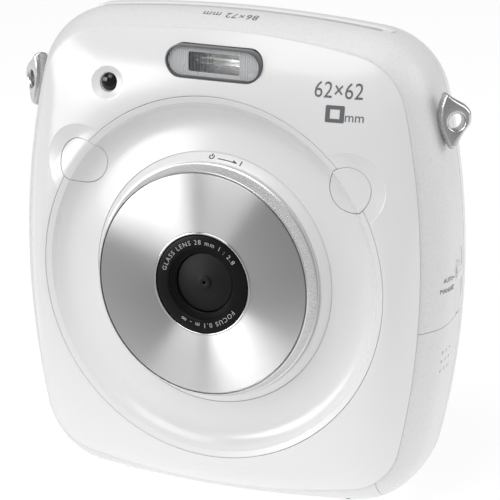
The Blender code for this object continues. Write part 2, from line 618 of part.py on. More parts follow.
def slot_parts():
    """The lip behind the film slot and the light shield under it."""
    length, _, rear = SLOT
    half = length / 2 + 2.0 * MM
    radius = MAX_OUTLINE[3]
    crown = BODY_Z + MAX_OUTLINE[1] + 0.4 * MM
    points = [(half * (1 - k / 6), crown - radius) for k in range(13)]
    outline = [(x, z + math.sqrt(radius ** 2 - x ** 2)) for x, z in points]
    outline += [(-half, 122.5 * MM), (half, 122.5 * MM)]
    lip = plate("film_exit_lip", outline, (0.0, rear + 1.8 * MM, 0.0), 3.3 * MM, "Y", "white_abs")
    bevel(lip, 0.5 * MM)
    shield = box("slot_light_shield", (-37.0 * MM, -2.9 * MM, 118.6 * MM), (37.0 * MM, -0.1 * MM, 119.1 * MM),
                 "black_abs")
    pivot("slot_light_shield", (0.0, -2.9 * MM, 118.85 * MM), shield)


def electronics():
    """Boards, capacitor, battery, sockets and print head."""
    board = box("main_circuit_board", (-40.0 * MM, -7.2 * MM, 12.0 * MM), (40.0 * MM, -6.2 * MM, 95.0 * MM),
                "green_board")
    chips = ((-34.0, 60.0, 12.0), (-33.0, 30.0, 9.0), (-26.0, 78.0, 7.0), (22.0, 80.0, 8.0))
    for k, (x, z, size) in enumerate(chips):
        low = (x * MM, -8.4 * MM, z * MM)
        chip = box(f"chip_{k}", low, ((x + size) * MM, -6.7 * MM, (z + size) * MM))
        cut(board, chip, operation="UNION")
    cylinder("flash_capacitor", 4.2 * MM, (46.4 * MM, -8.3 * MM, 56.5 * MM), 23.0 * MM, "Z", "black_abs", 24)
    bevel(box("battery", (7.0 * MM, -12.4 * MM, 11.5 * MM), (40.0 * MM, -7.6 * MM, 44.0 * MM), "grey_abs"),
          1.0 * MM)
    socket = box("memory_card_socket", (31.0 * MM, -12.2 * MM, 44.5 * MM), (46.0 * MM, -10.0 * MM, 54.5 * MM),
                 "steel")
    cut(socket, box("card_slit", (32.5 * MM, -11.6 * MM, 40.0 * MM), (44.5 * MM, -10.6 * MM, 53.0 * MM)))
    port = box("usb_socket", (47.2 * MM, -8.0 * MM, 45.2 * MM), (53.0 * MM, -0.5 * MM, 48.2 * MM), "steel")
    cut(port, box("port_mouth", (48.5 * MM, -7.4 * MM, 45.8 * MM), (60.0 * MM, -1.1 * MM, 47.6 * MM)))
    bevel(box("print_head", (-22.0 * MM, -11.5 * MM, 98.0 * MM), (38.0 * MM, -6.2 * MM, 104.0 * MM),
              "black_abs"), 0.5 * MM)


def underside():
    """The tripod socket, the case screws and the feet."""
    turned("tripod_socket",
           [(3.1 * MM, 1.0 * MM), (5.5 * MM, 1.0 * MM), (5.5 * MM, 8.0 * MM), (0.0, 8.0 * MM),
            (0.0, 7.0 * MM), (3.1 * MM, 7.0 * MM)],
           (0.0, TRIPOD_Y, 0.0), "Z", "steel", 24)
    for side, (x, y) in zip(("left", "right"), SCREW_PLACES):
        screw = turned("case_screw_" + side,
                       [(0.0, 1.9 * MM), (1.7 * MM, 1.9 * MM), (1.7 * MM, 3.3 * MM), (0.8 * MM, 3.3 * MM),
                        (0.8 * MM, 8.5 * MM), (0.0, 8.5 * MM)],
                       (x, y, 0.0), "Z", "steel", 16)
        slot = box("screw_slot_" + side, (x - 2.0 * MM, y - 0.25 * MM, 1.0 * MM),
                   (x + 2.0 * MM, y + 0.25 * MM, 2.5 * MM))
        cut(screw, slot)
    foot = [(0.0, STAND_Z), (FOOT_TIP_R, STAND_Z), (FOOT_R, STAND_Z + 1.0 * MM), (FOOT_R, STAND_Z + 6.0 * MM),
            (0.0, STAND_Z + 6.0 * MM)]
    for end, y in zip(("front", "rear"), FOOT_YS):
        for side, sign in (("left", -1), ("right", 1)):
            turned(f"foot_{end}_{side}", foot, (sign * FOOT_X, y, 0.0), "Z", "rubber", 16)


def stand():
    """Bring the feet's tips down to the standing surface, with everything as children of one empty."""
    origin = bpy.data.objects.new("standing_point", None)
    origin.location = (0.0, 0.0, -STAND_Z)
    for item in [item for item in bpy.data.objects if item.parent is None and item is not origin]:
        item.parent = origin
    COLLECTIONS["instant_camera"].objects.link(origin)


front_shell()
lens_unit()
flash_unit()
shutter_buttons()
side_band()
switch_and_lugs()
rear_frame()
film_door()
film_transport()
slot_parts()
electronics()
underside()
stand()
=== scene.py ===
"""Square-format instant camera: the visible surfaces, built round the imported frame.

Every size below is in millimetres and every mesh is made in millimetres, then brought to metres in
the frame's own coordinates: +Z up, the lens looks along -Y, the mode switch is on the +X side.
"""
import logging
import math
from dataclasses import dataclass, field
from enum import Enum
from typing import Callable, Dict, List, Optional, Sequence, Tuple

import bmesh
import bpy
from mathutils import Matrix, Vector


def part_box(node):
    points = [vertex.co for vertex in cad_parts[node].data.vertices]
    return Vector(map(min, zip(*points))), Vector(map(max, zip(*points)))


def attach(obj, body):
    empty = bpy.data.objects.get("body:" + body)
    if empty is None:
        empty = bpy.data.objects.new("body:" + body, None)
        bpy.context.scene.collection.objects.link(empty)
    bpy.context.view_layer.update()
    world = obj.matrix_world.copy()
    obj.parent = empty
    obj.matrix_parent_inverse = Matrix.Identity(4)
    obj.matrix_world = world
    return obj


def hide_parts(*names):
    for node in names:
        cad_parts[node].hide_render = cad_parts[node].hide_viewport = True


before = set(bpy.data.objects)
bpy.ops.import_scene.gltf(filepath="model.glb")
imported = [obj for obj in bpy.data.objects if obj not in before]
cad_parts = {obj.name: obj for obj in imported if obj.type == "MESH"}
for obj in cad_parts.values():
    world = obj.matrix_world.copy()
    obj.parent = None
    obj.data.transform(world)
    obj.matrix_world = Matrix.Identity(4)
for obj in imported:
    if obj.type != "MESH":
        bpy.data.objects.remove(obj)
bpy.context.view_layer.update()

LOG = logging.getLogger("instant_camera")
MM = 0.001
FULL_TURN = 2.0 * math.pi
# Points closer than this, in millimetres, are one point.
WELD = 0.0005
# Directions in the table of distances from the lens axis to the front seam.
REACH_STEPS = 720
# Steps of a search that halves its range each time.
HALVINGS = 30
# The height of a capital letter over the font's size.
CAPITAL_HEIGHT = 0.70

Point = Tuple[float, float]
Ring = Callable[[float], Vector]
Solid = bmesh.types.BMesh


class Axis(Enum):
    """The world axis that a turned or extruded piece is built about."""

    X = "x"
    Y = "y"
    Z = "z"


class Close(Enum):
    """How the ends of a swept skin are closed."""

    LOOP = "the last ring is joined to the first"
    CAPS = "both end rings are filled"
    OPEN = "the ends stay open"


AXIS_MATRIX = {
    Axis.X: Matrix.Rotation(math.pi / 2, 4, "Y"),
    Axis.Y: Matrix.Rotation(-math.pi / 2, 4, "X"),
    Axis.Z: Matrix.Identity(4),
}
FACE_MATRIX = {
    Axis.X: Matrix.Rotation(math.pi / 2, 4, "Z") @ Matrix.Rotation(math.pi / 2, 4, "X"),
    Axis.Y: Matrix.Rotation(math.pi / 2, 4, "X"),
    Axis.Z: Matrix.Identity(4),
}


def low_high(node: str) -> Tuple[Vector, Vector]:
    """Return a CAD node's lowest and highest corners in millimetres."""
    low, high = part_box(node)
    return Vector(low) / MM, Vector(high) / MM


def middle(node: str) -> Vector:
    """Return the middle of a CAD node's box in millimetres."""
    low, high = low_high(node)
    return (low + high) / 2


def lerp(a: float, b: float, t: float) -> float:
    """Return the value t of the way from a to b."""
    return a + (b - a) * t


# ---------------------------------------------------------------- finishes


def linear(hex_colour: str) -> Tuple[float, float, float, float]:
    """Turn an sRGB hex colour into linear RGBA.

    Args:
        hex_colour: six hex digits, with or without a leading hash.

    Returns:
        The linear colour with an alpha of 1.
    """
    digits = hex_colour.lstrip("#")
    channels = []
    for k in (0, 2, 4):
        value = int(digits[k:k + 2], 16) / 255.0
        channels.append(value / 12.92 if value <= 0.04045 else ((value + 0.055) / 1.055) ** 2.4)
    return (*channels, 1.0)


def add_node(tree: bpy.types.NodeTree, kind: str, inputs: Optional[dict] = None,
             **settings: object) -> bpy.types.Node:
    """Add a shader node with its settings and links.

    Args:
        tree: the material's node tree.
        kind: the node's type name.
        inputs: socket name or number to a value, or to another node's output socket.
        **settings: properties of the node itself.

    Returns:
        The new node.
    """
    made = tree.nodes.new(kind)
    for name, value in settings.items():
        setattr(made, name, value)
    for name, value in (inputs or {}).items():
        if isinstance(value, bpy.types.NodeSocket):
            tree.links.new(value, made.inputs[name])
        else:
            made.inputs[name].default_value = value
    return made


@dataclass(frozen=True)
class Finish:
    """A surface finish: its plain values, and a node graph that a subclass adds."""

    name: str
    slot: str
    colour: str
    roughness: float
    metallic: float = 0.0
    ior: float = 1.5
    specular: float = 0.5

    def material(self) -> bpy.types.Material:
        """Return this finish's material, made on first use.

        Returns:
            The material.
        """
        made = bpy.data.materials.get(self.name)
        if made is None:
            made = bpy.data.materials.new(self.name)
            made.use_nodes = True
            tree = made.node_tree
            shader = tree.nodes["Principled BSDF"]
            shader.inputs["Base Color"].default_value = linear(self.colour)
            shader.inputs["Roughness"].default_value = self.roughness
            shader.inputs["Metallic"].default_value = self.metallic
            shader.inputs["IOR"].default_value = self.ior
            shader.inputs["Specular IOR Level"].default_value = self.specular
            self.dress(tree, shader)
        return made

    def dress(self, tree: bpy.types.NodeTree, shader: bpy.types.Node) -> None:
        """Add this finish's own pattern to the shader.

        Args:
            tree: the material's node tree.
            shader: its main shader.
        """

    @staticmethod
    def place(tree: bpy.types.NodeTree) -> bpy.types.NodeSocket:
        """Return the object coordinates socket, which is in metres on every piece."""
        return add_node(tree, "ShaderNodeTexCoord").outputs["Object"]

    def vary_roughness(self, tree: bpy.types.NodeTree, shader: bpy.types.Node,
                       texture: bpy.types.NodeSocket, spread: float) -> None:
        """Let a texture move the roughness up and down by a spread.

        Args:
            tree: the material's node tree.
            shader: its main shader.
            texture: the value that drives the change.
            spread: the change either way.
        """
        ramp = add_node(tree, "ShaderNodeMapRange", {"Value": texture, "To Min": self.roughness - spread,
                                                     "To Max": self.roughness + spread})
        tree.links.new(ramp.outputs["Result"], shader.inputs["Roughness"])


@dataclass(frozen=True)
class MouldedABS(Finish):
    """Injection-moulded ABS: almost even, with a faint mottle in its gloss and a slight flow ripple."""

    mottle_mm: float = 2.2
    ripple_mm: float = 0.004
    tint: str = "#EFEFEF"

    def dress(self, tree: bpy.types.NodeTree, shader: bpy.types.Node) -> None:
        """Add the mottle, the ripple and a trace of tint.

        Args:
            tree: the material's node tree.
            shader: its main shader.
        """
        place = self.place(tree)
        mottle = add_node(tree, "ShaderNodeTexNoise", {"Vector": place, "Scale": 1.0 / (self.mottle_mm * MM),
                                                       "Detail": 3.0, "Roughness": 0.55})
        self.vary_roughness(tree, shader, mottle.outputs["Fac"], 0.03)
        drift = add_node(tree, "ShaderNodeTexNoise", {"Vector": place, "Scale": 28.0, "Detail": 2.0})
        mix = add_node(tree, "ShaderNodeMix", {"Factor": drift.outputs["Fac"]}, data_type="RGBA")
        mix.inputs[6].default_value = linear(self.colour)
        mix.inputs[7].default_value = linear(self.tint)
        tree.links.new(mix.outputs[2], shader.inputs["Base Color"])
        bump = add_node(tree, "ShaderNodeBump", {"Height": mottle.outputs["Fac"], "Strength": 0.25,
                                                 "Distance": self.ripple_mm * MM})
        tree.links.new(bump.outputs["Normal"], shader.inputs["Normal"])


@dataclass(frozen=True)
class GrainedABS(Finish):
    """ABS from a leather-etched mould: pebbles about 0.5 mm wide with fine creases between, darkened with
    painted shade.
    """

    pebble_mm: float = 0.5
    depth_mm: float = 0.03
    # crease is a painted shade colour: the creases are drawn darker where shade falls in them.
    crease: str = "#DADADC"

    def dress(self, tree: bpy.types.NodeTree, shader: bpy.types.Node) -> None:
        """Add the pebbles, the creases between them, painted shade that darkens the creases, and the duller
        gloss inside them.

        Args:
            tree: the material's node tree.
            shader: its main shader.
        """
        place = self.place(tree)
        wander = add_node(tree, "ShaderNodeTexNoise", {"Vector": place, "Scale": 0.9 / (self.pebble_mm * MM),
                                                       "Detail": 2.0})
        shift = add_node(tree, "ShaderNodeVectorMath",
                         {0: wander.outputs["Color"], "Scale": 0.55 * self.pebble_mm * MM},
                         operation="SCALE")
        moved = add_node(tree, "ShaderNodeVectorMath", {0: place, 1: shift.outputs["Vector"]},
                         operation="ADD")
        pebbles = add_node(tree, "ShaderNodeTexVoronoi", {"Vector": moved.outputs["Vector"],
                                                          "Scale": 1.0 / (self.pebble_mm * MM)},
                           feature="SMOOTH_F1")
        fine = add_node(tree, "ShaderNodeTexNoise", {"Vector": place, "Scale": 4.0 / (self.pebble_mm * MM),
                                                     "Detail": 2.0})
        height = add_node(tree, "ShaderNodeMath", {0: fine.outputs["Fac"], 1: 0.25, 2: 0.0},
                          operation="MULTIPLY_ADD")
        level = add_node(tree, "ShaderNodeMath", {0: height.outputs["Value"], 1: pebbles.outputs["Distance"]},
                         operation="SUBTRACT")
        bump = add_node(tree, "ShaderNodeBump", {"Height": level.outputs["Value"], "Strength": 0.55,
                                                 "Distance": self.depth_mm * MM})
        tree.links.new(bump.outputs["Normal"], shader.inputs["Normal"])
        # Painted shade: the colour darkens towards each pebble's edge, in the creases.
        crease = add_node(tree, "ShaderNodeMapRange", {"Value": pebbles.outputs["Distance"], "From Min": 0.35,
                                                       "From Max": 0.9, "To Min": 0.0, "To Max": 0.5})
        mix = add_node(tree, "ShaderNodeMix", {"Factor": crease.outputs["Result"]}, data_type="RGBA")
        mix.inputs[6].default_value = linear(self.colour)
        mix.inputs[7].default_value = linear(self.crease)
        tree.links.new(mix.outputs[2], shader.inputs["Base Color"])
        self.vary_roughness(tree, shader, pebbles.outputs["Distance"], 0.08)


@dataclass(frozen=True)
class TurnedMetal(Finish):
    """Metal faced on a lathe about the lens axis: its rings stretch highlights into bright sectors.

    The rings are drawn 0.22 mm apart, coarser than real ones of about 0.05 mm, so that they show.
    """

    axis_z_mm: float = 61.0
    line_mm: float = 0.22
    stretch: float = 1.0

    def dress(self, tree: bpy.types.NodeTree, shader: bpy.types.Node) -> None:
        """Add the turned rings and the stretch across them.

        Args:
            tree: the material's node tree.
            shader: its main shader.
        """
        place = self.place(tree)
        centred = add_node(tree, "ShaderNodeVectorMath", {0: place, 1: (0.0, 0.0, self.axis_z_mm * MM)},
                           operation="SUBTRACT")
        flat = add_node(tree, "ShaderNodeVectorMath", {0: centred.outputs["Vector"], 1: (1.0, 0.0, 1.0)},
                        operation="MULTIPLY")
        radius = add_node(tree, "ShaderNodeVectorMath", {0: flat.outputs["Vector"]}, operation="LENGTH")
        rings = add_node(tree, "ShaderNodeTexNoise", {"W": radius.outputs["Value"],
                                                      "Scale": 1.0 / (self.line_mm * MM), "Detail": 2.0},
                         noise_dimensions="1D")
        self.vary_roughness(tree, shader, rings.outputs["Fac"], 0.07)
        bump = add_node(tree, "ShaderNodeBump", {"Height": rings.outputs["Fac"], "Strength": 0.10,
                                                 "Distance": 0.01 * MM})
        tree.links.new(bump.outputs["Normal"], shader.inputs["Normal"])
        shader.inputs["Anisotropic"].default_value = self.stretch
        shader.inputs["Anisotropic Rotation"].default_value = 0.25
        tangent = add_node(tree, "ShaderNodeTangent", direction_type="RADIAL", axis="Y")
        tree.links.new(tangent.outputs["Tangent"], shader.inputs["Tangent"])


@dataclass(frozen=True)
class Plated(Finish):
    """Polished plating or plain machined metal with faint handling scratches."""

    scratch_mm: float = 0.5

    def dress(self, tree: bpy.types.NodeTree, shader: bpy.types.Node) -> None:
        """Add the scratches to the gloss and a trace of them to the surface.

        Args:
            tree: the material's node tree.
            shader: its main shader.
        """
        place = self.place(tree)
        stretched = add_node(tree, "ShaderNodeMapping", {"Vector": place, "Scale": (1.0, 6.0, 1.0),
                                                         "Rotation": (0.3, 0.5, 0.9)})
        noise = add_node(tree, "ShaderNodeTexNoise", {"Vector": stretched.outputs["Vector"],
                                                      "Scale": 1.0 / (self.scratch_mm * MM), "Detail": 4.0})
        self.vary_roughness(tree, shader, noise.outputs["Fac"], 0.4 * self.roughness)
        bump = add_node(tree, "ShaderNodeBump", {"Height": noise.outputs["Fac"], "Strength": 0.05,
                                                 "Distance": 0.004 * MM})
        tree.links.new(bump.outputs["Normal"], shader.inputs["Normal"])


@dataclass(frozen=True)
class SparkEroded(Finish):
    """Plastic or rubber from a spark-eroded mould: an even fine grit.

    The grit is drawn 0.25 mm wide, coarser than a real one of about 0.05 mm, so that it shows.
    """

    grit_mm: float = 0.25
    depth_mm: float = 0.02

    def dress(self, tree: bpy.types.NodeTree, shader: bpy.types.Node) -> None:
        """Add the grit.

        Args:
            tree: the material's node tree.
            shader: its main shader.
        """
        place = self.place(tree)
        grit = add_node(tree, "ShaderNodeTexNoise", {"Vector": place, "Scale": 1.0 / (self.grit_mm * MM),
                                                     "Detail": 3.0})
        self.vary_roughness(tree, shader, grit.outputs["Fac"], 0.06)
        bump = add_node(tree, "ShaderNodeBump", {"Height": grit.outputs["Fac"], "Strength": 0.5,
                                                 "Distance": self.depth_mm * MM})
        tree.links.new(bump.outputs["Normal"], shader.inputs["Normal"])


@dataclass(frozen=True)
class ClearOptic(Finish):
    """Clear moulded acrylic or glass: light passes through with hardly any haze."""

    through: float = 1.0

    def dress(self, tree: bpy.types.NodeTree, shader: bpy.types.Node) -> None:
        """Let the light through, with a faint haze of moulding flow.

        Args:
            tree: the material's node tree.
            shader: its main shader.
        """
        shader.inputs["Transmission Weight"].default_value = self.through
        place = self.place(tree)
        flow = add_node(tree, "ShaderNodeTexNoise", {"Vector": place, "Scale": 300.0, "Detail": 1.0})
        self.vary_roughness(tree, shader, flow.outputs["Fac"], 0.4 * self.roughness)


@dataclass(frozen=True)
class SolderMask(Finish):
    """Circuit board lacquer over copper: darker fields between bright tracks.

    The tracks are drawn 1.3 mm apart, coarser than real ones of about 0.3 mm, so that they show.
    """

    track_mm: float = 1.3

    def dress(self, tree: bpy.types.NodeTree, shader: bpy.types.Node) -> None:
        """Add the tracks and the pads.

        Args:
            tree: the material's node tree.
            shader: its main shader.
        """
        place = self.place(tree)
        tracks = add_node(tree, "ShaderNodeTexBrick", {"Vector": place, "Scale": 1.0 / (self.track_mm * MM),
                                                       "Mortar Size": 0.12, "Color1": linear(self.colour),
                                                       "Color2": linear("#0E5B33"),
                                                       "Mortar": linear("#2C8A55")})
        tree.links.new(tracks.outputs["Color"], shader.inputs["Base Color"])
        bump = add_node(tree, "ShaderNodeBump", {"Height": tracks.outputs["Fac"], "Strength": 0.4,
                                                 "Distance": 0.03 * MM})
        tree.links.new(bump.outputs["Normal"], shader.inputs["Normal"])


# High-gloss mould finish: crisp soft-box reflections on a neutral white.
WHITE_GLOSS = MouldedABS("glossy white moulded ABS", "white_abs", "#F4F4F4", 0.20, ior=1.53)
# Satin mould finish: broad, dull reflections on the rear parts.
WHITE_SATIN = MouldedABS("satin white moulded ABS", "white_abs", "#EFEFF0", 0.34, ior=1.53)
# Mid-grey satin plastic, for the command dial and the battery sleeve.
GREY_ABS = MouldedABS("grey moulded ABS", "grey_abs", "#A9ABAE", 0.38, ior=1.53, tint="#A4A6A9")
# Leather-etched mould: the band looks duller and a shade greyer than the shells, with painted shade in its
# creases.
BAND_GRAIN = GrainedABS("leather-grained ABS", "grained_band", "#EAEAEB", 0.42, ior=1.53)
# Faced on a lathe: bright and dark sectors that meet at the middle.
FACE_METAL = TurnedMetal("face-turned aluminium", "spun_aluminium", "#D6D6D6", 0.38, 1.0)
# Satin machined metal: the serrations read as fine grey lines.
KNURL_METAL = Plated("knurled aluminium", "spun_aluminium", "#E2E2E2", 0.34, 1.0)
# Polished plating: a thin bright line round the bore.
CHROME = Plated("chrome plating", "chrome", "#DDDEE0", 0.09, 1.0)
# Tumbled and plated casting: soft dark-to-light bands over its curves.
LUG_METAL = Plated("satin plated zinc casting", "chrome", "#CDCDCE", 0.27, 1.0)
# Ground steel: plain grey metal with a soft shine.
STEEL = Plated("bright steel", "steel", "#A9ABAD", 0.30, 1.0)
# Machined brass: warm yellow metal with a soft shine.
BRASS = Plated("machined brass", "brass", "#C9A155", 0.30, 1.0)
# Fine black moulding that gives back little light, for the bezel.
BLACK_GLOSS = MouldedABS("black moulded polycarbonate", "black_abs", "#131314", 0.30, ior=1.58, specular=0.1,
                         tint="#171718")
# Textured black moulding that swallows stray light.
BLACK_MATT = SparkEroded("matt black polycarbonate", "black_abs", "#0F0F10", 0.52, ior=1.58, specular=0.2)
# Polished clear acrylic: what lies behind it shows plainly.
CLEAR = ClearOptic("clear acrylic", "clear", "#FFFFFF", 0.03, ior=1.49)
# Smoked acrylic: black with one sharp reflection.
DARK_GLASS = MouldedABS("smoked acrylic window", "dark_glass", "#08090B", 0.05, ior=1.49, tint="#0A0B0E")
# Lacquered board: dark green with paler tracks.
BOARD = SolderMask("green circuit board", "green_board", "#146B3E", 0.42, ior=1.5)
# Moulded rubber: dark grey without shine.
RUBBER = SparkEroded("moulded grey rubber", "rubber", "#5B5B5D", 0.75, ior=1.52)
# Pad-printed ink: flat mid grey.
GREY_INK = SparkEroded("dark grey pad-printed ink", "grey_abs", "#66686D", 0.45)
# Pad-printed ink: flat near black.
DARK_INK = SparkEroded("black pad-printed ink", "black_abs", "#303135", 0.45)
# Pad-printed ink: flat pale grey on black.
PALE_INK = SparkEroded("pale grey pad-printed ink", "grey_abs", "#B9BABD", 0.45)
# Dark satin rim that outlines the flash.
RIM_GREY = MouldedABS("dark grey moulded ABS", "grey_abs", "#5E6064", 0.30, ior=1.53, tint="#56585C")
# Vapour-plated plastic: a bright, blurred mirror behind the tube.
REFLECTOR = Plated("satin vapour-plated reflector", "chrome", "#F2F2F2", 0.38, 1.0)
# Pale plastic behind the prisms, which makes the ends of the flash light grey.
FLASH_PALE = MouldedABS("pale grey moulded ABS", "white_abs", "#DCDDDF", 0.38, ior=1.53, tint="#D8D9DB")
# Textured acrylic: milky ends either side of the clear middle.
FROSTED = ClearOptic("frosted acrylic", "clear", "#E9EAEC", 0.30, ior=1.49, through=0.25)


# ---------------------------------------------------------------- mesh tools


def ring_sweep(rings: Sequence[Ring], steps: int, close: Close) -> Solid:
    """Sweep a skin through rings of points.

    Args:
        rings: for each ring, a function from an angle to a point in millimetres.
        steps: points in a ring.
        close: what is done with the end rings.

    Returns:
        The skin.
    """
    skin = bmesh.new()
    place = skin.verts.layers.int.new("place")
    first = bmesh.ops.create_circle(skin, segments=steps, radius=1.0)["verts"]
    for k, vert in enumerate(first):
        vert[place] = k
        vert.co = rings[0](FULL_TURN * k / steps)
    loops = [list(skin.edges)]
    for ring in rings[1:]:
        grown = bmesh.ops.extrude_edge_only(skin, edges=loops[-1])["geom"]
        verts = {item for item in grown if isinstance(item, bmesh.types.BMVert)}
        for vert in verts:
            vert.co = ring(FULL_TURN * vert[place] / steps)
        loops.append([item for item in grown if isinstance(item, bmesh.types.BMEdge)
                      and all(vert in verts for vert in item.verts)])
    if close is Close.LOOP:
        bmesh.ops.bridge_loops(skin, edges=loops[0] + loops[-1])
    elif close is Close.CAPS:
        for loop in (loops[0], loops[-1]):
            bmesh.ops.edgeloop_fill(skin, edges=loop)
    bmesh.ops.recalc_face_normals(skin, faces=skin.faces)
    return skin


def rounded(points: Sequence[Point], radius: float, arc_steps: int = 4, closed: bool = True) -> List[Point]:
    """Round the corners of a run of points.

    Args:
        points: the corners, in order.
        radius: how far back from each corner its arc starts, limited to half of each side.
        arc_steps: points in an arc.
        closed: whether the last point joins the first.

    Returns:
        The rounded run.
    """
    result: List[Point] = []
    count = len(points)
    for k, (x, y) in enumerate(points):
        corner = Vector((x, y))
        if not closed and k in (0, count - 1):
            result.append((x, y))
            continue
        before = Vector(points[k - 1]) - corner
        after = Vector(points[(k + 1) % count]) - corner
        reach = min(radius, 0.49 * before.length, 0.49 * after.length)
        start = corner + before.normalized() * reach
        end = corner + after.normalized() * reach
        for step in range(arc_steps + 1):
            t = step / arc_steps
            point = start * (1 - t) ** 2 + corner * (2 * t * (1 - t)) + end * t ** 2
            result.append((point.x, point.y))
    return result


def turned(profile: Sequence[Point], at: Vector, axis: Axis, steps: int = 128) -> Solid:
    """Spin a profile about an axis.

    Args:
        profile: (radius, height along the axis) points; it closes on the axis if both ends lie on it.
        at: a point that the axis passes through, and that heights are measured from.
        axis: the direction of the axis.
        steps: divisions of the turn.

    Returns:
        The turned solid.
    """
    solid = bmesh.new()
    verts = [solid.verts.new((radius, 0.0, height)) for radius, height in profile]
    edges = [solid.edges.new(pair) for pair in zip(verts, verts[1:])]
    if profile[0][0] > 0.0 or profile[-1][0] > 0.0:
        edges.append(solid.edges.new((verts[-1], verts[0])))
    bmesh.ops.spin(solid, geom=verts + edges, cent=(0, 0, 0), axis=(0, 0, 1), angle=FULL_TURN,
                   steps=steps, use_merge=True)
    bmesh.ops.remove_doubles(solid, verts=solid.verts, dist=WELD)
    bmesh.ops.recalc_face_normals(solid, faces=solid.faces)
    bmesh.ops.transform(solid, matrix=Matrix.Translation(at) @ AXIS_MATRIX[axis], verts=solid.verts)
    return solid


def prism(outline: Sequence[Point], at: Vector, depth: float, facing: Axis, edge: float = 0.0) -> Solid:
    """Extrude a flat outline and round its edges.

    Args:
        outline: points, as (x, z) facing Y, (y, z) facing X or (x, y) facing Z.
        at: where the outline's origin and the middle of the depth go.
        depth: the thickness.
        facing: the direction of the thickness.
        edge: the width of the rounding along both rims.

    Returns:
        The prism.
    """
    solid = bmesh.new()
    verts = [solid.verts.new((u, v, -depth / 2)) for u, v in outline]
    base = solid.faces.new(verts)
    top = bmesh.ops.extrude_face_region(solid, geom=[base])["geom"]
    bmesh.ops.translate(solid, vec=(0, 0, depth), verts=[v for v in top if isinstance(v, bmesh.types.BMVert)])
    bmesh.ops.recalc_face_normals(solid, faces=solid.faces)
    if edge > 0.0:
        rims = [e for e in solid.edges if abs(e.verts[0].co.z - e.verts[1].co.z) < 1e-6]
        bmesh.ops.bevel(solid, geom=rims, offset=edge, segments=3, profile=0.5, affect="EDGES", material=-1)
    bmesh.ops.transform(solid, matrix=Matrix.Translation(at) @ FACE_MATRIX[facing], verts=solid.verts)
    return solid


def block(low: Sequence[float], high: Sequence[float], edge: float = 0.0, segments: int = 3) -> Solid:
    """Return a box between two corners with rounded edges.

    Args:
        low: the lowest corner.
        high: the highest corner.
        edge: the width of the rounding.
        segments: steps in the rounding.

    Returns:
        The box.
    """
    low_corner, high_corner = Vector(low), Vector(high)
    solid = bmesh.new()
    bmesh.ops.create_cube(solid, size=1.0)
    bmesh.ops.scale(solid, vec=high_corner - low_corner, verts=solid.verts)
    bmesh.ops.translate(solid, vec=(low_corner + high_corner) / 2, verts=solid.verts)
    if edge > 0.0:
        bmesh.ops.bevel(solid, geom=list(solid.edges), offset=edge, segments=segments, profile=0.5,
                        affect="EDGES", material=-1)
    return solid


def stadium(width: float, height: float, radius: float, steps: int = 12) -> List[Point]:
    """Return a rectangle about the origin with round corners.

    Args:
        width: its width.
        height: its height.
        radius: the corners' radius.
        steps: steps in each corner.

    Returns:
        The outline.
    """
    points: List[Point] = []
    for sign_x, sign_y, start in ((1, 1, 0.0), (-1, 1, 0.5), (-1, -1, 1.0), (1, -1, 1.5)):
        for k in range(steps + 1):
            angle = math.pi * (start + 0.5 * k / steps)
            points.append((sign_x * (width / 2 - radius) + radius * math.cos(angle),
                           sign_y * (height / 2 - radius) + radius * math.sin(angle)))
    return points


def merge_in(target: Solid, *others: Solid) -> Solid:
    """Put other solids into a mesh as separate shells of it, and free them.

    Args:
        target: the mesh that takes them.
        *others: the solids, which are used up.

    Returns:
        The target.
    """
    for other in others:
        mesh = bpy.data.meshes.new("merge")
        other.to_mesh(mesh)
        other.free()
        target.from_mesh(mesh)
        bpy.data.meshes.remove(mesh)
    return target


def as_mesh(solid: Solid, name: str) -> bpy.types.Mesh:
    """Turn a solid in millimetres into a mesh in metres, and free it.

    Args:
        solid: the solid, which is used up.
        name: the mesh's name.

    Returns:
        The mesh.
    """
    bmesh.ops.scale(solid, vec=(MM, MM, MM), verts=solid.verts)
    mesh = bpy.data.meshes.new(name)
    solid.to_mesh(mesh)
    solid.free()
    return mesh


def combine(base: bpy.types.Mesh, cutters: Sequence[Solid],
            operation: str = "DIFFERENCE") -> bpy.types.Mesh:
    """Cut a mesh in metres with solids in millimetres, one after another.

    Args:
        base: the mesh to cut.
        cutters: the solids that cut it.
        operation: the Boolean operation.

    Returns:
        The cut mesh.
    """
    for cutter in cutters:
        holder = bpy.data.objects.new("cutting", base)
        tool = bpy.data.objects.new("tool", as_mesh(cutter, "tool"))
        for item in (holder, tool):
            bpy.context.scene.collection.objects.link(item)
        boolean = holder.modifiers.new("cut", "BOOLEAN")
        boolean.operation = operation
        boolean.object = tool
        evaluated = holder.evaluated_get(bpy.context.evaluated_depsgraph_get())
        result = bpy.data.meshes.new_from_object(evaluated)
        for item in (holder, tool):
            bpy.data.objects.remove(item)
        base = result
    return base


def add_piece(name: str, mesh: bpy.types.Mesh, finish: Finish, body: str, replaces: Sequence[str] = (),
              sharp: float = 35.0) -> bpy.types.Object:
    """Put a finished mesh in the scene as a piece of the camera.

    Args:
        name: the piece's name.
        mesh: its mesh, in metres and in place.
        finish: its finish.
        body: the CAD body it moves with.
        replaces: the CAD nodes it stands for.
        sharp: the angle in degrees above which an edge stays crisp.

    Returns:
        The piece.
    """
    mesh.name = name
    mesh.materials.clear()
    mesh.materials.append(finish.material())
    mesh.polygons.foreach_set("material_index", [0] * len(mesh.polygons))
    mesh.shade_smooth()
    mesh.set_sharp_from_angle(angle=math.radians(sharp))
    piece = bpy.data.objects.new(name, mesh)
    bpy.context.scene.collection.objects.link(piece)
    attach(piece, body)
    if replaces:
        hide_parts(*replaces)
    LOG.info("%s: %d faces, rides on %s", name, len(mesh.polygons), body)
    return piece


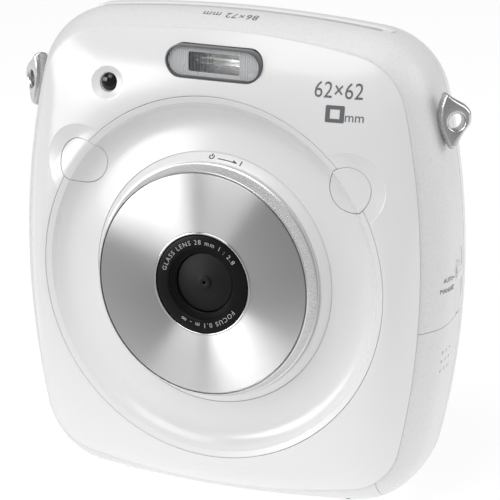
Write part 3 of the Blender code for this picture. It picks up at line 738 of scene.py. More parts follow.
def add_solid(name: str, solid: Solid, finish: Finish, body: str, replaces: Sequence[str] = (),
              sharp: float = 35.0) -> bpy.types.Object:
    """Add a piece straight from a solid in millimetres.

    Args:
        name: the piece's name.
        solid: the solid, which is used up.
        finish: its finish.
        body: the CAD body it moves with.
        replaces: the CAD nodes it stands for.
        sharp: the angle in degrees above which an edge stays crisp.

    Returns:
        The piece.
    """
    return add_piece(name, as_mesh(solid, name), finish, body, replaces, sharp)


def dress_node(finish: Finish, *names: str) -> None:
    """Give CAD nodes that stay showing a finish.

    Args:
        finish: the finish.
        *names: the nodes' names.
    """
    for name in names:
        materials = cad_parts[name].data.materials
        materials.clear()
        materials.append(finish.material())


def lettering(text: str, height: float, thickness: float = 0.05, spacing: float = 1.0) -> Solid:
    """Return text as a thin solid lying in X and Y, centred on the origin, in millimetres.

    Args:
        text: the text.
        height: the height of its capitals.
        thickness: its thickness.
        spacing: the letter spacing as a factor.

    Returns:
        The lettering.
    """
    curve = bpy.data.curves.new("lettering", "FONT")
    curve.body = text
    curve.size = height / CAPITAL_HEIGHT
    curve.space_character = spacing
    curve.align_x = "CENTER"
    curve.resolution_u = 3
    curve.extrude = thickness / 2
    holder = bpy.data.objects.new("lettering", curve)
    bpy.context.scene.collection.objects.link(holder)
    bpy.context.view_layer.update()
    evaluated = holder.evaluated_get(bpy.context.evaluated_depsgraph_get())
    mesh = bpy.data.meshes.new_from_object(evaluated)
    bpy.data.objects.remove(holder)
    solid = bmesh.new()
    solid.from_mesh(mesh)
    bmesh.ops.remove_doubles(solid, verts=solid.verts, dist=WELD)
    bmesh.ops.translate(solid, vec=(0, -height / 2, 0), verts=solid.verts)
    return solid


def wrap(solid: Solid, place: Callable[[float, float, float], Vector]) -> Solid:
    """Lay a flat solid on a surface: place turns its (across, up, off the surface) into a point.

    Args:
        solid: the flat solid.
        place: the function that finds the point.

    Returns:
        The same solid.
    """
    for vert in solid.verts:
        vert.co = place(*vert.co)
    bmesh.ops.recalc_face_normals(solid, faces=solid.faces)
    return solid


# ---------------------------------------------------------------- the body's form


@dataclass(frozen=True)
class Outline:
    """A body outline: wide arcs for its sides and top, tighter arcs at its corners."""

    half_w: float
    half_h: float
    side_r: float
    top_r: float
    corner_r: float

    def radius(self, angle: float) -> float:
        """Return the distance from the middle to the outline in a direction.

        Args:
            angle: the direction in radians, from +X towards +Z.

        Returns:
            The distance.
        """
        c, s = abs(math.cos(angle)), abs(math.sin(angle))
        side, top = Vector((self.half_w - self.side_r, 0.0)), Vector((0.0, self.half_h - self.top_r))
        near, far = self.side_r - self.corner_r, self.top_r - self.corner_r
        span = (top - side).length
        along = (near ** 2 - far ** 2 + span ** 2) / (2 * span)
        ahead = (top - side) / span
        corner = side + ahead * along + Vector((-ahead.y, ahead.x)) * math.sqrt(near ** 2 - along ** 2)
        side_end = corner + (corner - side).normalized() * self.corner_r
        top_end = corner + (corner - top).normalized() * self.corner_r
        centre, radius = corner, self.corner_r
        if math.atan2(s, c) < math.atan2(side_end.y, side_end.x):
            centre, radius = side, self.side_r
        elif math.atan2(s, c) > math.atan2(top_end.y, top_end.x):
            centre, radius = top, self.top_r
        b = c * centre.x + s * centre.y
        return b + math.sqrt(b * b - centre.length_squared + radius * radius)

    def inset(self, distance: float) -> "Outline":
        """Return the outline moved inwards."""
        return Outline(self.half_w - distance, self.half_h - distance, self.side_r - distance,
                       self.top_r - distance, self.corner_r - distance)

    def mix(self, other: "Outline", t: float) -> "Outline":
        """Return the outline t of the way to another."""
        return Outline(lerp(self.half_w, other.half_w, t), lerp(self.half_h, other.half_h, t),
                       lerp(self.side_r, other.side_r, t), lerp(self.top_r, other.top_r, t),
                       lerp(self.corner_r, other.corner_r, t))


@dataclass
class BodyForm:
    """The camera's outer surfaces as formulas, with their main sizes read from the frame."""

    steps: int = 432
    wall: float = 2.0
    bevel_w: float = 1.75
    bevel_drop: float = 0.45
    sag: float = 2.9
    roll: float = 1.9
    flare: float = 2.2
    rear_roll: float = 2.2
    scoop_r: float = 10.1
    scoop_deep: float = 1.7
    scoop_fade: float = 4.6
    buttons: List[Point] = field(default_factory=list)
    reaches: List[float] = field(default_factory=list)

    def __post_init__(self) -> None:
        """Read the frame's boxes and measure the front seam from the lens axis."""
        shell_low, shell_high = low_high("front_shell")
        _, band_high = low_high("mid_band")
        door_low, door_high = low_high("film_door")
        self.body_z = (door_low.z + door_high.z) / 2
        self.lens_z = middle("power_ring").z
        self.dish_y, self.seam_y = shell_low.y, shell_high.y
        self.band_end_y = band_high.y
        self.rear_y = door_high.y
        self.max_y = -2.3
        self.dish_r = low_high("dish_panel")[1].x + 0.3
        self.base_r = low_high("lens_base_ring")[1].x
        self.foot_y = self.dish_y + 1.9
        self.seam = Outline(shell_high.x, 59.9, 203.0, 199.0, 16.0)
        self.widest = Outline(59.4, 63.5, 189.0, 347.0, 20.0)
        self.rear = Outline(door_high.x + 0.8, door_high.z - self.body_z + 0.7, 189.0, 347.0, 15.0)
        self.door = Outline(door_high.x, door_high.z - self.body_z, 189.0, 347.0, 14.3)
        self.lens = Vector((0.0, 0.0, self.lens_z))
        for side in ("left", "right"):
            centre = middle("shutter_button_" + side)
            self.buttons.append((centre.x, centre.z))
        self.reaches = [self._reach(FULL_TURN * k / REACH_STEPS) for k in range(REACH_STEPS + 1)]

    def _reach(self, angle: float) -> float:
        """Return the distance from the lens axis to the front seam in a direction.

        Args:
            angle: the direction in radians.

        Returns:
            The distance.
        """
        low, high = self.dish_r, 90.0
        for _ in range(HALVINGS):
            trial = (low + high) / 2
            x, z = trial * math.cos(angle), self.lens_z + trial * math.sin(angle) - self.body_z
            inside = math.hypot(x, z) < self.seam.radius(math.atan2(z, x))
            low, high = (trial, high) if inside else (low, trial)
        return low

    def reach(self, angle: float) -> float:
        """Return the tabled distance from the lens axis to the front seam."""
        step = (angle % FULL_TURN) / FULL_TURN * REACH_STEPS
        k = min(int(step), REACH_STEPS - 1)
        return lerp(self.reaches[k], self.reaches[k + 1], step - k)

    def dish_depth(self, radius: float) -> float:
        """Return the dish's y at a distance from the lens axis.

        Args:
            radius: the distance from the lens axis.

        Returns:
            The y of the dish.
        """
        crease = self.dish_r - self.bevel_w
        if radius >= crease:
            return self.dish_y + self.bevel_drop * (self.dish_r - radius) / self.bevel_w
        t = min(1.0, (crease - radius) / (crease - self.base_r))
        fall = self.sag * math.sin(math.pi * t ** 0.64)
        return lerp(self.dish_y + self.bevel_drop, self.foot_y, t) + fall

    def shell_depth(self, t: float) -> float:
        """Return the shell's y, t of the way from the dish's seam to the outer seam."""
        return self.dish_y + (self.seam_y - self.dish_y) * t ** self.roll

    def front_y(self, x: float, z: float) -> float:
        """Return the front surface's y under a point of the front view.

        Args:
            x: the point across.
            z: its height.

        Returns:
            The y of the front surface.
        """
        dx, dz = x, z - self.lens_z
        radius = math.hypot(dx, dz)
        if radius <= self.dish_r:
            return self.dish_depth(radius)
        reach = self.reach(math.atan2(dz, dx))
        return self.shell_depth(min(1.0, (radius - self.dish_r) / (reach - self.dish_r)))

    def scoop_drop(self, x: float, z: float) -> float:
        """Return how far the thumb hollow round the nearer button lowers the shell at a point."""
        nearest = min(math.hypot(x - button_x, z - button_z) for button_x, button_z in self.buttons)
        past_seam = min(1.0, max(0.0, (math.hypot(x, z - self.lens_z) - self.dish_r) / self.scoop_fade))
        drop = self.scoop_deep * (1.0 - (nearest / self.scoop_r) ** 2)
        return drop * past_seam ** 2 * (3.0 - 2.0 * past_seam)

    def button_y(self, x: float, z: float) -> float:
        """Return the y of a button's face: one crease runs across it, where the dish begins.

        Args:
            x: the point across.
            z: its height.

        Returns:
            The y of the button's face.
        """
        radius = math.hypot(x, z - self.lens_z)
        if radius <= self.dish_r - self.bevel_w:
            return self.dish_depth(radius)
        if radius <= self.dish_r:
            return self.dish_y + self.bevel_drop * ((self.dish_r - radius) / self.bevel_w) ** 1.6
        return self.front_y(x, z) + self.scoop_drop(x, z)

    def shell_ring(self, t: float, lift: float = 0.0, inwards: float = 0.0) -> Ring:
        """Return a ring of the front shell, lifted along Y and drawn in from the outer seam.

        Args:
            t: where it lies, from the seam of the dish to the outer seam.
            lift: the move along Y.
            inwards: the move in from the outer seam.

        Returns:
            The ring.
        """
        def ring(angle: float) -> Vector:
            """Return the ring as a function of the angle."""
            radius = lerp(self.dish_r, self.reach(angle) - inwards, t)
            return Vector((radius * math.cos(angle), self.shell_depth(t) + lift,
                           self.lens_z + radius * math.sin(angle)))
        return ring

    def body_outline(self, y: float) -> Outline:
        """Return the body's outline at a depth behind the front seam.

        Args:
            y: the depth.

        Returns:
            The outline.
        """
        if y <= self.max_y:
            s = max(0.0, (y - self.seam_y) / (self.max_y - self.seam_y))
            return self.seam.mix(self.widest, 1.0 - (1.0 - s) ** self.flare)
        s = min(1.0, (y - self.max_y) / (self.rear_y - self.max_y))
        return self.widest.mix(self.rear, 1.0 - (1.0 - s ** self.rear_roll) ** (1 / self.rear_roll))

    def outline_ring(self, outline: Outline, y: float) -> Ring:
        """Return an outline as a ring across the body.

        Args:
            outline: the outline.
            y: its depth.

        Returns:
            The ring.
        """
        def ring(angle: float) -> Vector:
            """Return the ring as a function of the angle."""
            radius = outline.radius(angle)
            return Vector((radius * math.cos(angle), y, self.body_z + radius * math.sin(angle)))
        return ring

    def body_ring(self, y: float, inwards: float = 0.0) -> Ring:
        """Return a ring of the body's side at a depth, drawn inwards."""
        return self.outline_ring(self.body_outline(y).inset(inwards), y)

    def side_x(self, y: float, z: float) -> float:
        """Return the body side's x at a depth and height.

        Args:
            y: the depth.
            z: the height.

        Returns:
            The x of the body's side.
        """
        outline = self.body_outline(y)
        low, high = 0.0, 80.0
        for _ in range(HALVINGS):
            x = (low + high) / 2
            inside = math.hypot(x, z - self.body_z) < outline.radius(math.atan2(z - self.body_z, x))
            low, high = (x, high) if inside else (low, x)
        return low


# ---------------------------------------------------------------- shells


@dataclass
class FrontShell:
    """The glossy front moulding, with the openings for the flash, the light sensor and the buttons."""

    form: BodyForm
    rings: int = 26
    flash_size: Tuple[float, float] = (26.6, 8.5)
    button_gap: float = 0.13
    sensor_scoop_r: float = 4.8
    sensor_scoop_deep: float = 0.95

    def build(self) -> None:
        """Build the moulding and cut its openings."""
        form = self.form
        outer = [form.shell_ring(0.0, 0.30), form.shell_ring(0.0, 0.12), form.shell_ring(0.004, 0.03)]
        outer += [form.shell_ring(0.012 + 0.98 * (k / self.rings)) for k in range(self.rings + 1)]
        outer += [form.shell_ring(1.0, -0.02, 0.03), form.shell_ring(1.0, 0.08, 0.03)]
        inner = [form.shell_ring(t, form.wall * (1.0 - t) + 0.12, form.wall)
                 for t in (1.0, 0.75, 0.5, 0.25, 0.0)]
        mesh = as_mesh(ring_sweep(outer + inner, form.steps, Close.LOOP), "front")
        flash, sensor = middle("flash_window"), middle("light_sensor_window")
        cutters = [prism(stadium(*self.flash_size, self.flash_size[1] / 2 - 0.01), Vector((0, -15, flash.z)),
                         16.0, Axis.Y),
                   turned([(0, -30), (2.55, -30), (2.55, -10), (0, -10)],
                          Vector((sensor.x, 0, sensor.z)), Axis.Y)]
        cutters.append(self.sensor_scoop(sensor.x, sensor.z))
        cutters += [self.thumb_scoop(x, z) for x, z in form.buttons]
        cutters += self.button_holes()
        add_piece("front_shell_moulding", combine(mesh, cutters), WHITE_GLOSS, "root", ["front_shell"])

    def button_holes(self) -> List[Solid]:
        """Return the round solids that cut the shutter buttons' openings.

        Returns:
            The two solids.
        """
        holes = []
        for side in ("left", "right"):
            low, high = low_high("shutter_button_" + side)
            hole = (high.x - low.x) / 2 + self.button_gap
            at = Vector(((low.x + high.x) / 2, 0, (low.z + high.z) / 2))
            holes.append(turned([(0, -30), (hole, -30), (hole, -5), (0, -5)], at, Axis.Y, 192))
        return holes

    def thumb_scoop(self, x: float, z: float) -> Solid:
        """Return the solid that cuts the thumb hollow round a button: crisp outside, fading at the seam.

        Args:
            x: the button's middle across.
            z: its height.

        Returns:
            The solid.
        """
        form = self.form

        def ring(radius: float, level: Optional[float] = None) -> Ring:
            """Return a ring about the button, flat at a level or on the hollow's floor."""
            def point(angle: float) -> Vector:
                """Return the point in a direction."""
                px, pz = x + radius * math.cos(angle), z + radius * math.sin(angle)
                if level is not None:
                    return Vector((px, level, pz))
                floor = form.scoop_drop(px, pz)
                if floor < 0.002:
                    floor = -0.15
                return Vector((px, form.front_y(px, pz) + floor, pz))
            return point
        radii = [form.scoop_r + 0.25] + [form.scoop_r * (1 - k / 40) for k in range(40)]
        rings = [ring(0.04, -30.0), ring(radii[0], -30.0)] + [ring(radius) for radius in radii] + [ring(0.04)]
        return ring_sweep(rings, 240, Close.CAPS)

    def sensor_scoop(self, x: float, z: float) -> Solid:
        """Return a ball that cuts the shallow round hollow about the light sensor.

        Args:
            x: the sensor's middle across.
            z: its height.

        Returns:
            The ball.
        """
        form, radius, depth = self.form, self.sensor_scoop_r, self.sensor_scoop_deep
        slope_x = (form.front_y(x - radius, z) - form.front_y(x + radius, z)) / (2 * radius)
        slope_z = (form.front_y(x, z + radius) - form.front_y(x, z - radius)) / (2 * radius)
        outwards = Vector((-slope_x, -1.0, slope_z)).normalized()
        ball_r = (radius ** 2 + depth ** 2) / (2 * depth)
        centre = Vector((x, form.front_y(x, z), z)) + outwards * (ball_r - depth)
        ball = bmesh.new()
        bmesh.ops.create_uvsphere(ball, u_segments=160, v_segments=120, radius=ball_r)
        turn = outwards.to_track_quat("Z", "Y").to_matrix().to_4x4()
        bmesh.ops.transform(ball, matrix=Matrix.Translation(centre) @ turn, verts=ball.verts)
        return ball


@dataclass
class SideBand:
    """The leather-grained band, the battery door in its corner, the film slot and the switch recess."""

    form: BodyForm
    slot_half: float = 39.0
    door_gap: float = 0.16

    def build(self) -> None:
        """Build the band and everything let into it."""
        form = self.form
        start, end = form.seam_y + 0.25, form.band_end_y
        count = 22
        depths = [start + (end - start) * k / count for k in range(count + 1)]
        outer = [form.body_ring(start + 0.6, 1.2), form.body_ring(start, 0.55),
                 form.body_ring(start + 0.05, 0.2)]
        outer += [form.body_ring(y) for y in depths[1:-1]]
        outer += [form.body_ring(end - 0.12), form.body_ring(end, 0.15)]
        inner = [form.body_ring(y, form.wall) for y in (end, 4.0, 0.0, -4.0, -8.0, start + 0.6)]
        rings = outer + inner
        band = as_mesh(ring_sweep(rings, form.steps, Close.LOOP), "band")
        door = band.copy()
        slot_low, slot_high = -2.35, -0.4
        mouth = stadium(2 * self.slot_half, slot_high - slot_low, 0.9, 6)
        lip_low, lip_high = low_high("film_exit_lip")
        cutters = [prism(mouth, Vector((0, (slot_low + slot_high) / 2, 126)), 16.0, Axis.Z),
                   block((lip_low.x - 0.15, lip_low.y - 0.1, 118),
                         (lip_high.x + 0.15, lip_high.y + 0.15, 140)),
                   self.switch_recess()]
        for name in ("foot_front_left", "foot_front_right", "foot_rear_left", "foot_rear_right",
                     "tripod_socket", "case_screw_left", "case_screw_right"):
            low, high = low_high(name)
            centre, radius = (low + high) / 2, (high.x - low.x) / 2 + 0.15
            cutters.append(turned([(0, -3), (radius, -3), (radius, 9), (0, 9)],
                                  Vector((centre.x, centre.y, 0)),
                                  Axis.Z, 64))
        cutters.append(self.door_region(0.0))
        add_piece("side_band_grained", combine(band, cutters), BAND_GRAIN, "root", ["mid_band"])
        door = combine(door, [self.door_region(self.door_gap)], "INTERSECT")
        door = combine(door, self.grip_dots())
        add_piece("battery_door_grained", door, BAND_GRAIN, "battery_door", ["battery_door"])

    def switch_recess(self) -> Solid:
        """Return the solid that cuts the mode switch's recess."""
        knob = middle("mode_switch_knob")
        outline = stadium(5.8, 17.6, 2.6, 10)
        return prism(outline, Vector((62.5, knob.y + 0.5, knob.z - 2.5)), 7.6, Axis.X)

    def door_region(self, gap: float) -> Solid:
        """Return the lower right corner of the body, less a gap: its top edge is a hollow curve.

        Args:
            gap: how far it is drawn in.

        Returns:
            The solid.
        """
        form = self.form
        front, rear = form.seam_y - 8.0, 6.0 - gap
        low, high = form.body_z - 12.95, form.body_z - 10.1
        top: List[Point] = [(front, low - 0.3 - gap)]
        for k in range(17):
            t = k / 16
            y = lerp(form.seam_y, rear, t)
            top.append((y, lerp(low, high, t) - 0.3 * math.sin(math.pi * t) - gap))
        outline = top + [(rear, -5.0), (front, -5.0)]
        left = 43.5 + gap
        return prism(outline, Vector(((left + 75.0) / 2, 0.0, 0.0)), 75.0 - left, Axis.X)

    def grip_dots(self) -> List[Solid]:
        """Return the three rows of three small grip dots that are pressed into the battery door.

        Returns:
            The solids that cut the dots.
        """
        dots = []
        for row in range(3):
            for column in range(3):
                y = -4.7 + 2.1 * column
                z = self.form.body_z - 19.2 - 2.45 * row + 0.25 * column
                x = self.form.side_x(y, z)
                ball = bmesh.new()
                bmesh.ops.create_uvsphere(ball, u_segments=20, v_segments=14, radius=0.5)
                bmesh.ops.translate(ball, vec=(x + 0.12, y, z), verts=ball.verts)
                dots.append(ball)
        return dots


@dataclass
class RearShell:
    """The smooth rear of the body and the lip behind the film slot."""

    form: BodyForm

    def build(self) -> None:
        """Build the rear shell and the lip."""
        form = self.form
        start = form.band_end_y + 0.25
        depths = [start + (form.rear_y - start) * (1 - (1 - k / 22) ** 1.7) for k in range(22)]
        outer = [form.body_ring(start + 0.5, 1.0), form.body_ring(start, 0.2), form.body_ring(start + 0.1)]
        outer += [form.body_ring(y) for y in depths[1:]] + [form.body_ring(form.rear_y)]
        opening = form.door.inset(-0.22)
        rim = [form.outline_ring(opening, y) for y in (form.rear_y, form.rear_y - 0.15, 19.7)]
        inner = [form.body_ring(y, form.wall) for y in (18.0, 14.0, start + 0.5)]
        mesh = as_mesh(ring_sweep(outer + rim + inner, form.steps, Close.LOOP), "rear")
        pin = middle("film_door_pin")
        low, high = low_high("film_door_pin")
        notch = block((40.0, pin.y - 1.2, low.z - 0.4), (high.x + 0.35, 30.0, high.z + 0.4))
        add_piece("rear_shell_moulding", combine(mesh, [notch]), WHITE_SATIN, "root", ["rear_frame"])
        self.exit_lip()

    def exit_lip(self) -> None:
        """Build the smooth lip that guides the print out of the slot."""
        low, high = low_high("film_exit_lip")
        radius = self.form.widest.top_r
        half = high.x
        crown = high.z
        points: List[Point] = []
        for k in range(41):
            x = half * (1 - k / 20)
            end = max(0.0, abs(x) / half - 0.93) / 0.07
            points.append((x, crown - radius + math.sqrt(radius ** 2 - x ** 2) - 0.55 * end ** 2))
        points += [(-half, low.z), (half, low.z)]
        solid = prism(points, Vector((0, (low.y + high.y) / 2, 0)), high.y - low.y, Axis.Y, 0.45)
        add_solid("film_exit_lip_smooth", solid, WHITE_SATIN, "root", ["film_exit_lip"])


@dataclass
class StrapLugs:
    """The two cast and plated strap lugs: thick soft-edged fins, swept back along the sides."""

    hole_r: float = 2.1
    lip: float = 0.8
    edge: float = 1.2
    sweep_back: float = 40.0
    hole_in: float = 3.55
    hole_up: float = 0.4

    def outline(self, side: int) -> List[Point]:
        """Return the fin's outline about its hole."""
        points = [(-3.0, 7.7), (-1.4, 6.4), (0.6, 5.2), (2.7, 4.0), (4.15, 2.2), (4.1, -0.6), (2.1, -3.1),
                  (0.8, -5.2), (0.1, -6.9), (-1.3, -7.3), (-2.6, -5.0), (-3.9, -2.0), (-4.5, 1.0),
                  (-4.2, 4.5)]
        return [(side * x, z) for x, z in rounded(points, 0.9, 4)]

    def pillow(self, side: int, half: float) -> Solid:
        """Return the fin without its hole: its outline swept over a soft, rounded thickness.

        Args:
            side: 1 on the right and -1 on the left.
            half: half of its thickness.

        Returns:
            The fin.
        """
        points = self.outline(side)

        def ring(turn: float) -> Ring:
            """Return the outline at a turn round the edge, drawn in as the edge rounds off."""
            drawn_in = self.edge * (1.0 - math.cos(turn))

            def point(angle: float) -> Vector:
                """Return the point in a direction."""
                x, z = points[round(angle / FULL_TURN * len(points)) % len(points)]
                shrink = 1.0 - drawn_in / max(1.0, math.hypot(x, z))
                return Vector((x * shrink, half * math.sin(turn), z * shrink))
            return point
        return ring_sweep([ring(math.pi * (k / 12 - 0.5)) for k in range(13)], len(points), Close.CAPS)

    def build(self) -> None:
        """Build both lugs."""
        for name, side in (("strap_lug_left", -1), ("strap_lug_right", 1)):
            low, high = low_high(name)
            hole_x = (high.x if side > 0 else low.x) - side * self.hole_in
            hole = Vector((hole_x, (low.y + high.y) / 2, (low.z + high.z) / 2 + self.hole_up))
            half = (high.y - low.y) / 2
            mesh = as_mesh(self.pillow(side, half), name)
            mouth = [(0, -9), (self.hole_r + 1.3, -9), (self.hole_r + 1.3, -half)]
            for k in range(6):
                angle = math.pi / 2 * k / 5
                mouth.append((self.hole_r + self.lip * (1 - math.sin(angle)),
                              -half + self.lip * (1 - math.cos(angle))))
            bore = turned(mouth + [(r, -y) for r, y in reversed(mouth)], Vector((0, 0, 0)), Axis.Y, 64)
            solid = bmesh.new()
            solid.from_mesh(combine(mesh, [bore]))
            bmesh.ops.scale(solid, vec=(1 / MM, 1 / MM, 1 / MM), verts=solid.verts)
            sweep = Matrix.Rotation(math.radians(side * self.sweep_back), 4, "Z")
            bmesh.ops.transform(solid, matrix=Matrix.Translation(hole) @ sweep, verts=solid.verts)
            add_solid(name + "_cast", solid, LUG_METAL, "root", [name], 50.0)


@dataclass
class Underside:
    """The small rubber feet, the case screws and the tripod socket."""

    def build(self) -> None:
        """Build everything that is let into the underside."""
        for name in ("foot_front_left", "foot_front_right", "foot_rear_left", "foot_rear_right"):
            low, high = low_high(name)
            centre, radius = (low + high) / 2, (high.x - low.x) / 2
            profile = [(0, low.z), (0.75, low.z + 0.02), (1.05, low.z + 0.25), (radius, low.z + 1.15),
                       (radius, high.z), (0, high.z)]
            add_solid(name + "_rubber", turned(profile, Vector((centre.x, centre.y, 0)), Axis.Z, 48), RUBBER,
                      "root", [name])
        for name in ("case_screw_left", "case_screw_right"):
            low, high = low_high(name)
            centre, radius = (low + high) / 2, (high.x - low.x) / 2
            profile = [(0, low.z), (radius * 0.7, low.z), (radius, low.z + 0.35), (radius, low.z + 1.4),
                       (0.8, low.z + 1.6), (0.8, high.z), (0, high.z)]
            mesh = as_mesh(turned(profile, Vector((centre.x, centre.y, 0)), Axis.Z, 40), name)
            arms = []
            for size in ((1.9, 0.42), (0.42, 1.9)):
                arms.append(block((centre.x - size[0] / 2, centre.y - size[1] / 2, low.z - 1),
                                  (centre.x + size[0] / 2, centre.y + size[1] / 2, low.z + 0.7)))
            add_piece(name + "_cross_head", combine(mesh, arms), STEEL, "root", [name])
        low, high = low_high("tripod_socket")
        centre, radius = (low + high) / 2, (high.x - low.x) / 2
        thread: List[Point] = []
        for k in range(5):
            z = low.z + 0.5 + 1.27 * k
            thread += [(3.25, z), (3.0, z + 0.64)]
        profile = [(3.6, low.z)] + thread + [(0, high.z - 1), (0, high.z), (radius, high.z),
                                            (radius, low.z + 0.3), (radius - 0.3, low.z)]
        solid = bmesh.new()
        verts = [solid.verts.new((r, 0, z)) for r, z in profile]
        edges = [solid.edges.new(pair) for pair in zip(verts, verts[1:] + verts[:1])]
        bmesh.ops.spin(solid, geom=verts + edges, cent=(0, 0, 0), axis=(0, 0, 1), angle=FULL_TURN, steps=64,
                       use_merge=True)
        bmesh.ops.remove_doubles(solid, verts=solid.verts, dist=WELD)
        bmesh.ops.dissolve_degenerate(solid, edges=solid.edges, dist=0.0001)
        bmesh.ops.recalc_face_normals(solid, faces=solid.faces)
        bmesh.ops.translate(solid, vec=(centre.x, centre.y, 0), verts=solid.verts)
        add_solid("tripod_socket_threaded", solid, STEEL, "root", ["tripod_socket"])


@dataclass
class ModeSwitch:
    """The sliding mode switch: a rounded knob with finger ridges."""

    ridges: int = 4

    def build(self) -> None:
        """Build the knob."""
        low, high = low_high("mode_switch_knob")
        centre = (low + high) / 2
        crown: List[Point] = []
        half = (high.z - low.z) / 2
        for k in range(33):
            t = -1 + k / 16
            rise = (high.x - low.x - 1.0) * (1 - abs(t) ** 2.4)
            wave = 0.14 * math.cos(self.ridges * math.pi * t) * (1 - abs(t))
            crown.append((low.x + 0.6 + rise + wave, t * half))
        outline = [(low.x, -half)] + crown + [(low.x, half)]
        solid = prism([(x - centre.x, z) for x, z in outline], centre, high.y - low.y - 0.8, Axis.Y, 0.45)
        add_solid("mode_switch_ridged_knob", solid, WHITE_SATIN, "mode_switch", ["mode_switch_knob"])


# ---------------------------------------------------------------- the lens


@dataclass
class LensDial:
    """The dished ring, the lens base, the knurled power dial and the black bezel in its middle."""

    form: BodyForm
    teeth: int = 376
    tooth_deep: float = 0.17
    seam_gap: float = 0.13

    def build(self) -> None:
        """Build everything turned about the lens axis."""
        self.dish()
        self.base_ring()
        self.power_ring()
        self.face_plate()
        self.bezel()
        self.cover_disc()

    def dish(self) -> None:
        """Build the dished ring: a bevelled rim, a soft crease and a channel, notched for the buttons."""
        form = self.form
        rim, foot = form.dish_r - self.seam_gap, form.base_r + 0.1
        radii = [rim - 0.12 - (rim - 0.12 - foot) * k / 60 for k in range(61)]
        front = [(rim, form.dish_y + 0.35), (rim, form.dish_y + 0.12)]
        front += [(radius, form.dish_depth(radius)) for radius in radii]
        back = [(radius, form.dish_depth(radius) + 1.2) for radius in reversed(radii[::4])]
        back.append((rim, form.dish_y + 1.4))
        mesh = as_mesh(turned(front + back, form.lens, Axis.Y, 288), "dish")
        add_piece("dish_ring_moulding", combine(mesh, FrontShell(form).button_holes()), WHITE_GLOSS, "root",
                  ["dish_panel"])

    def base_ring(self) -> None:
        """Build the white cone that the power dial turns on."""
        form = self.form
        low, high = low_high("lens_base_ring")
        top, rear = low.y, high.y
        profile = [(12.9, top + 0.1), (30.6, top), (30.95, top + 0.02), (31.25, top + 0.2)]
        profile += [(form.base_r - 0.25, form.foot_y - 0.35), (form.base_r, form.foot_y + 0.1),
                    (form.base_r, rear), (30.9, rear), (30.9, top + 1.95), (12.9, top + 1.95)]
        add_solid("lens_base_cone", turned(profile, form.lens, Axis.Y, 256), WHITE_GLOSS, "root",
                  ["lens_base_ring"])

    def power_ring(self) -> None:
        """Build the knurled ring: straight serrations between a chamfered lip and a smooth flange."""
        low, high = low_high("power_ring")
        front, rear, outer = low.y, high.y, high.x
        lens = self.form.lens

        def ring(radius: float, y: float, bite: float = 0.0) -> Ring:
            """Return a ring whose serrations are cut in by the bite."""
            def point(angle: float) -> Vector:
                """Return the point in a direction."""
                phase = (angle / FULL_TURN * self.teeth) % 1.0
                r = radius - bite * (1.0 - abs(2.0 * phase - 1.0))
                return Vector((lens.x + r * math.cos(angle), y, lens.z + r * math.sin(angle)))
            return point

        slope = (outer - 29.3) / (rear - front)
        rings = [ring(29.0, front + 0.06), ring(29.05, front), ring(29.22, front), ring(29.34, front + 0.16)]
        for y in (front + 0.2, front + 1.2, front + 2.2, front + 3.3):
            rings.append(ring(29.36 + slope * (y - front), y, self.tooth_deep))
        rings += [ring(outer - 0.30, front + 3.36), ring(outer - 0.02, front + 3.5), ring(outer, front + 3.6),
                  ring(outer, rear), ring(26.0, rear), ring(26.0, front + 1.25), ring(29.0, front + 1.25)]
        add_solid("power_ring_knurled", ring_sweep(rings, self.teeth * 4, Close.LOOP), KNURL_METAL,
                  "power_dial", ["power_ring"], 25.0)

    def face_plate(self) -> None:
        """Build the faced disc and the bright lip round its bore."""
        low, high = low_high("lens_face_plate")
        outer = high.x
        front, rear = low.y, high.y
        profile = [(13.55, front + 0.05), (13.7, front), (outer - 0.35, front), (outer - 0.1, front + 0.08),
                   (outer, front + 0.3), (outer, rear), (13.55, rear)]
        add_solid("lens_face_disc", turned(profile, self.form.lens, Axis.Y, 256), FACE_METAL, "power_dial",
                  ["lens_face_plate"])
        lip = rounded([(12.95, front + 0.6), (12.95, front - 0.12), (13.5, front - 0.12),
                       (13.5, front + 0.6)], 0.25, 4)
        add_solid("lens_face_lip", turned(lip, self.form.lens, Axis.Y, 192), CHROME, "power_dial")

    def bezel(self) -> None:
        """Build the black bezel with its stepped grooves."""
        low, high = low_high("lens_bezel")
        front, rear, outer = low.y, high.y, high.x
        profile = [(outer, front + 0.35), (outer - 0.12, front + 0.12), (outer - 0.4, front), (9.75, front),
                   (9.6, front + 0.12), (9.45, front + 0.12), (9.35, front + 0.45), (9.05, front + 0.45),
                   (8.95, front + 0.8), (8.6, front + 0.85), (8.5, front + 1.15), (8.15, front + 1.2),
                   (8.05, front + 1.5), (7.9, front + 1.6), (7.9, rear), (outer, rear)]
        add_solid("lens_bezel_grooved", turned(profile, self.form.lens, Axis.Y, 192), BLACK_GLOSS, "root",
                  ["lens_bezel"])

    def cover_disc(self) -> None:
        """Build the recessed cover disc with the boss and pinhole at its centre."""
        low, high = low_high("lens_cover_disc")
        front, rear, outer = low.y, high.y, high.x
        profile = [(0.42, front + 0.05), (0.5, front), (1.35, front), (1.6, front + 0.1), (1.72, front + 0.4),
                   (2.0, front + 0.5), (outer - 0.25, front + 0.45), (outer, front + 0.6), (outer, rear),
                   (0.42, rear)]
        add_solid("lens_cover_disc_matt", turned(profile, self.form.lens, Axis.Y, 160), BLACK_MATT, "root",
                  ["lens_cover_disc"])


# ---------------------------------------------------------------- flash, sensor and buttons


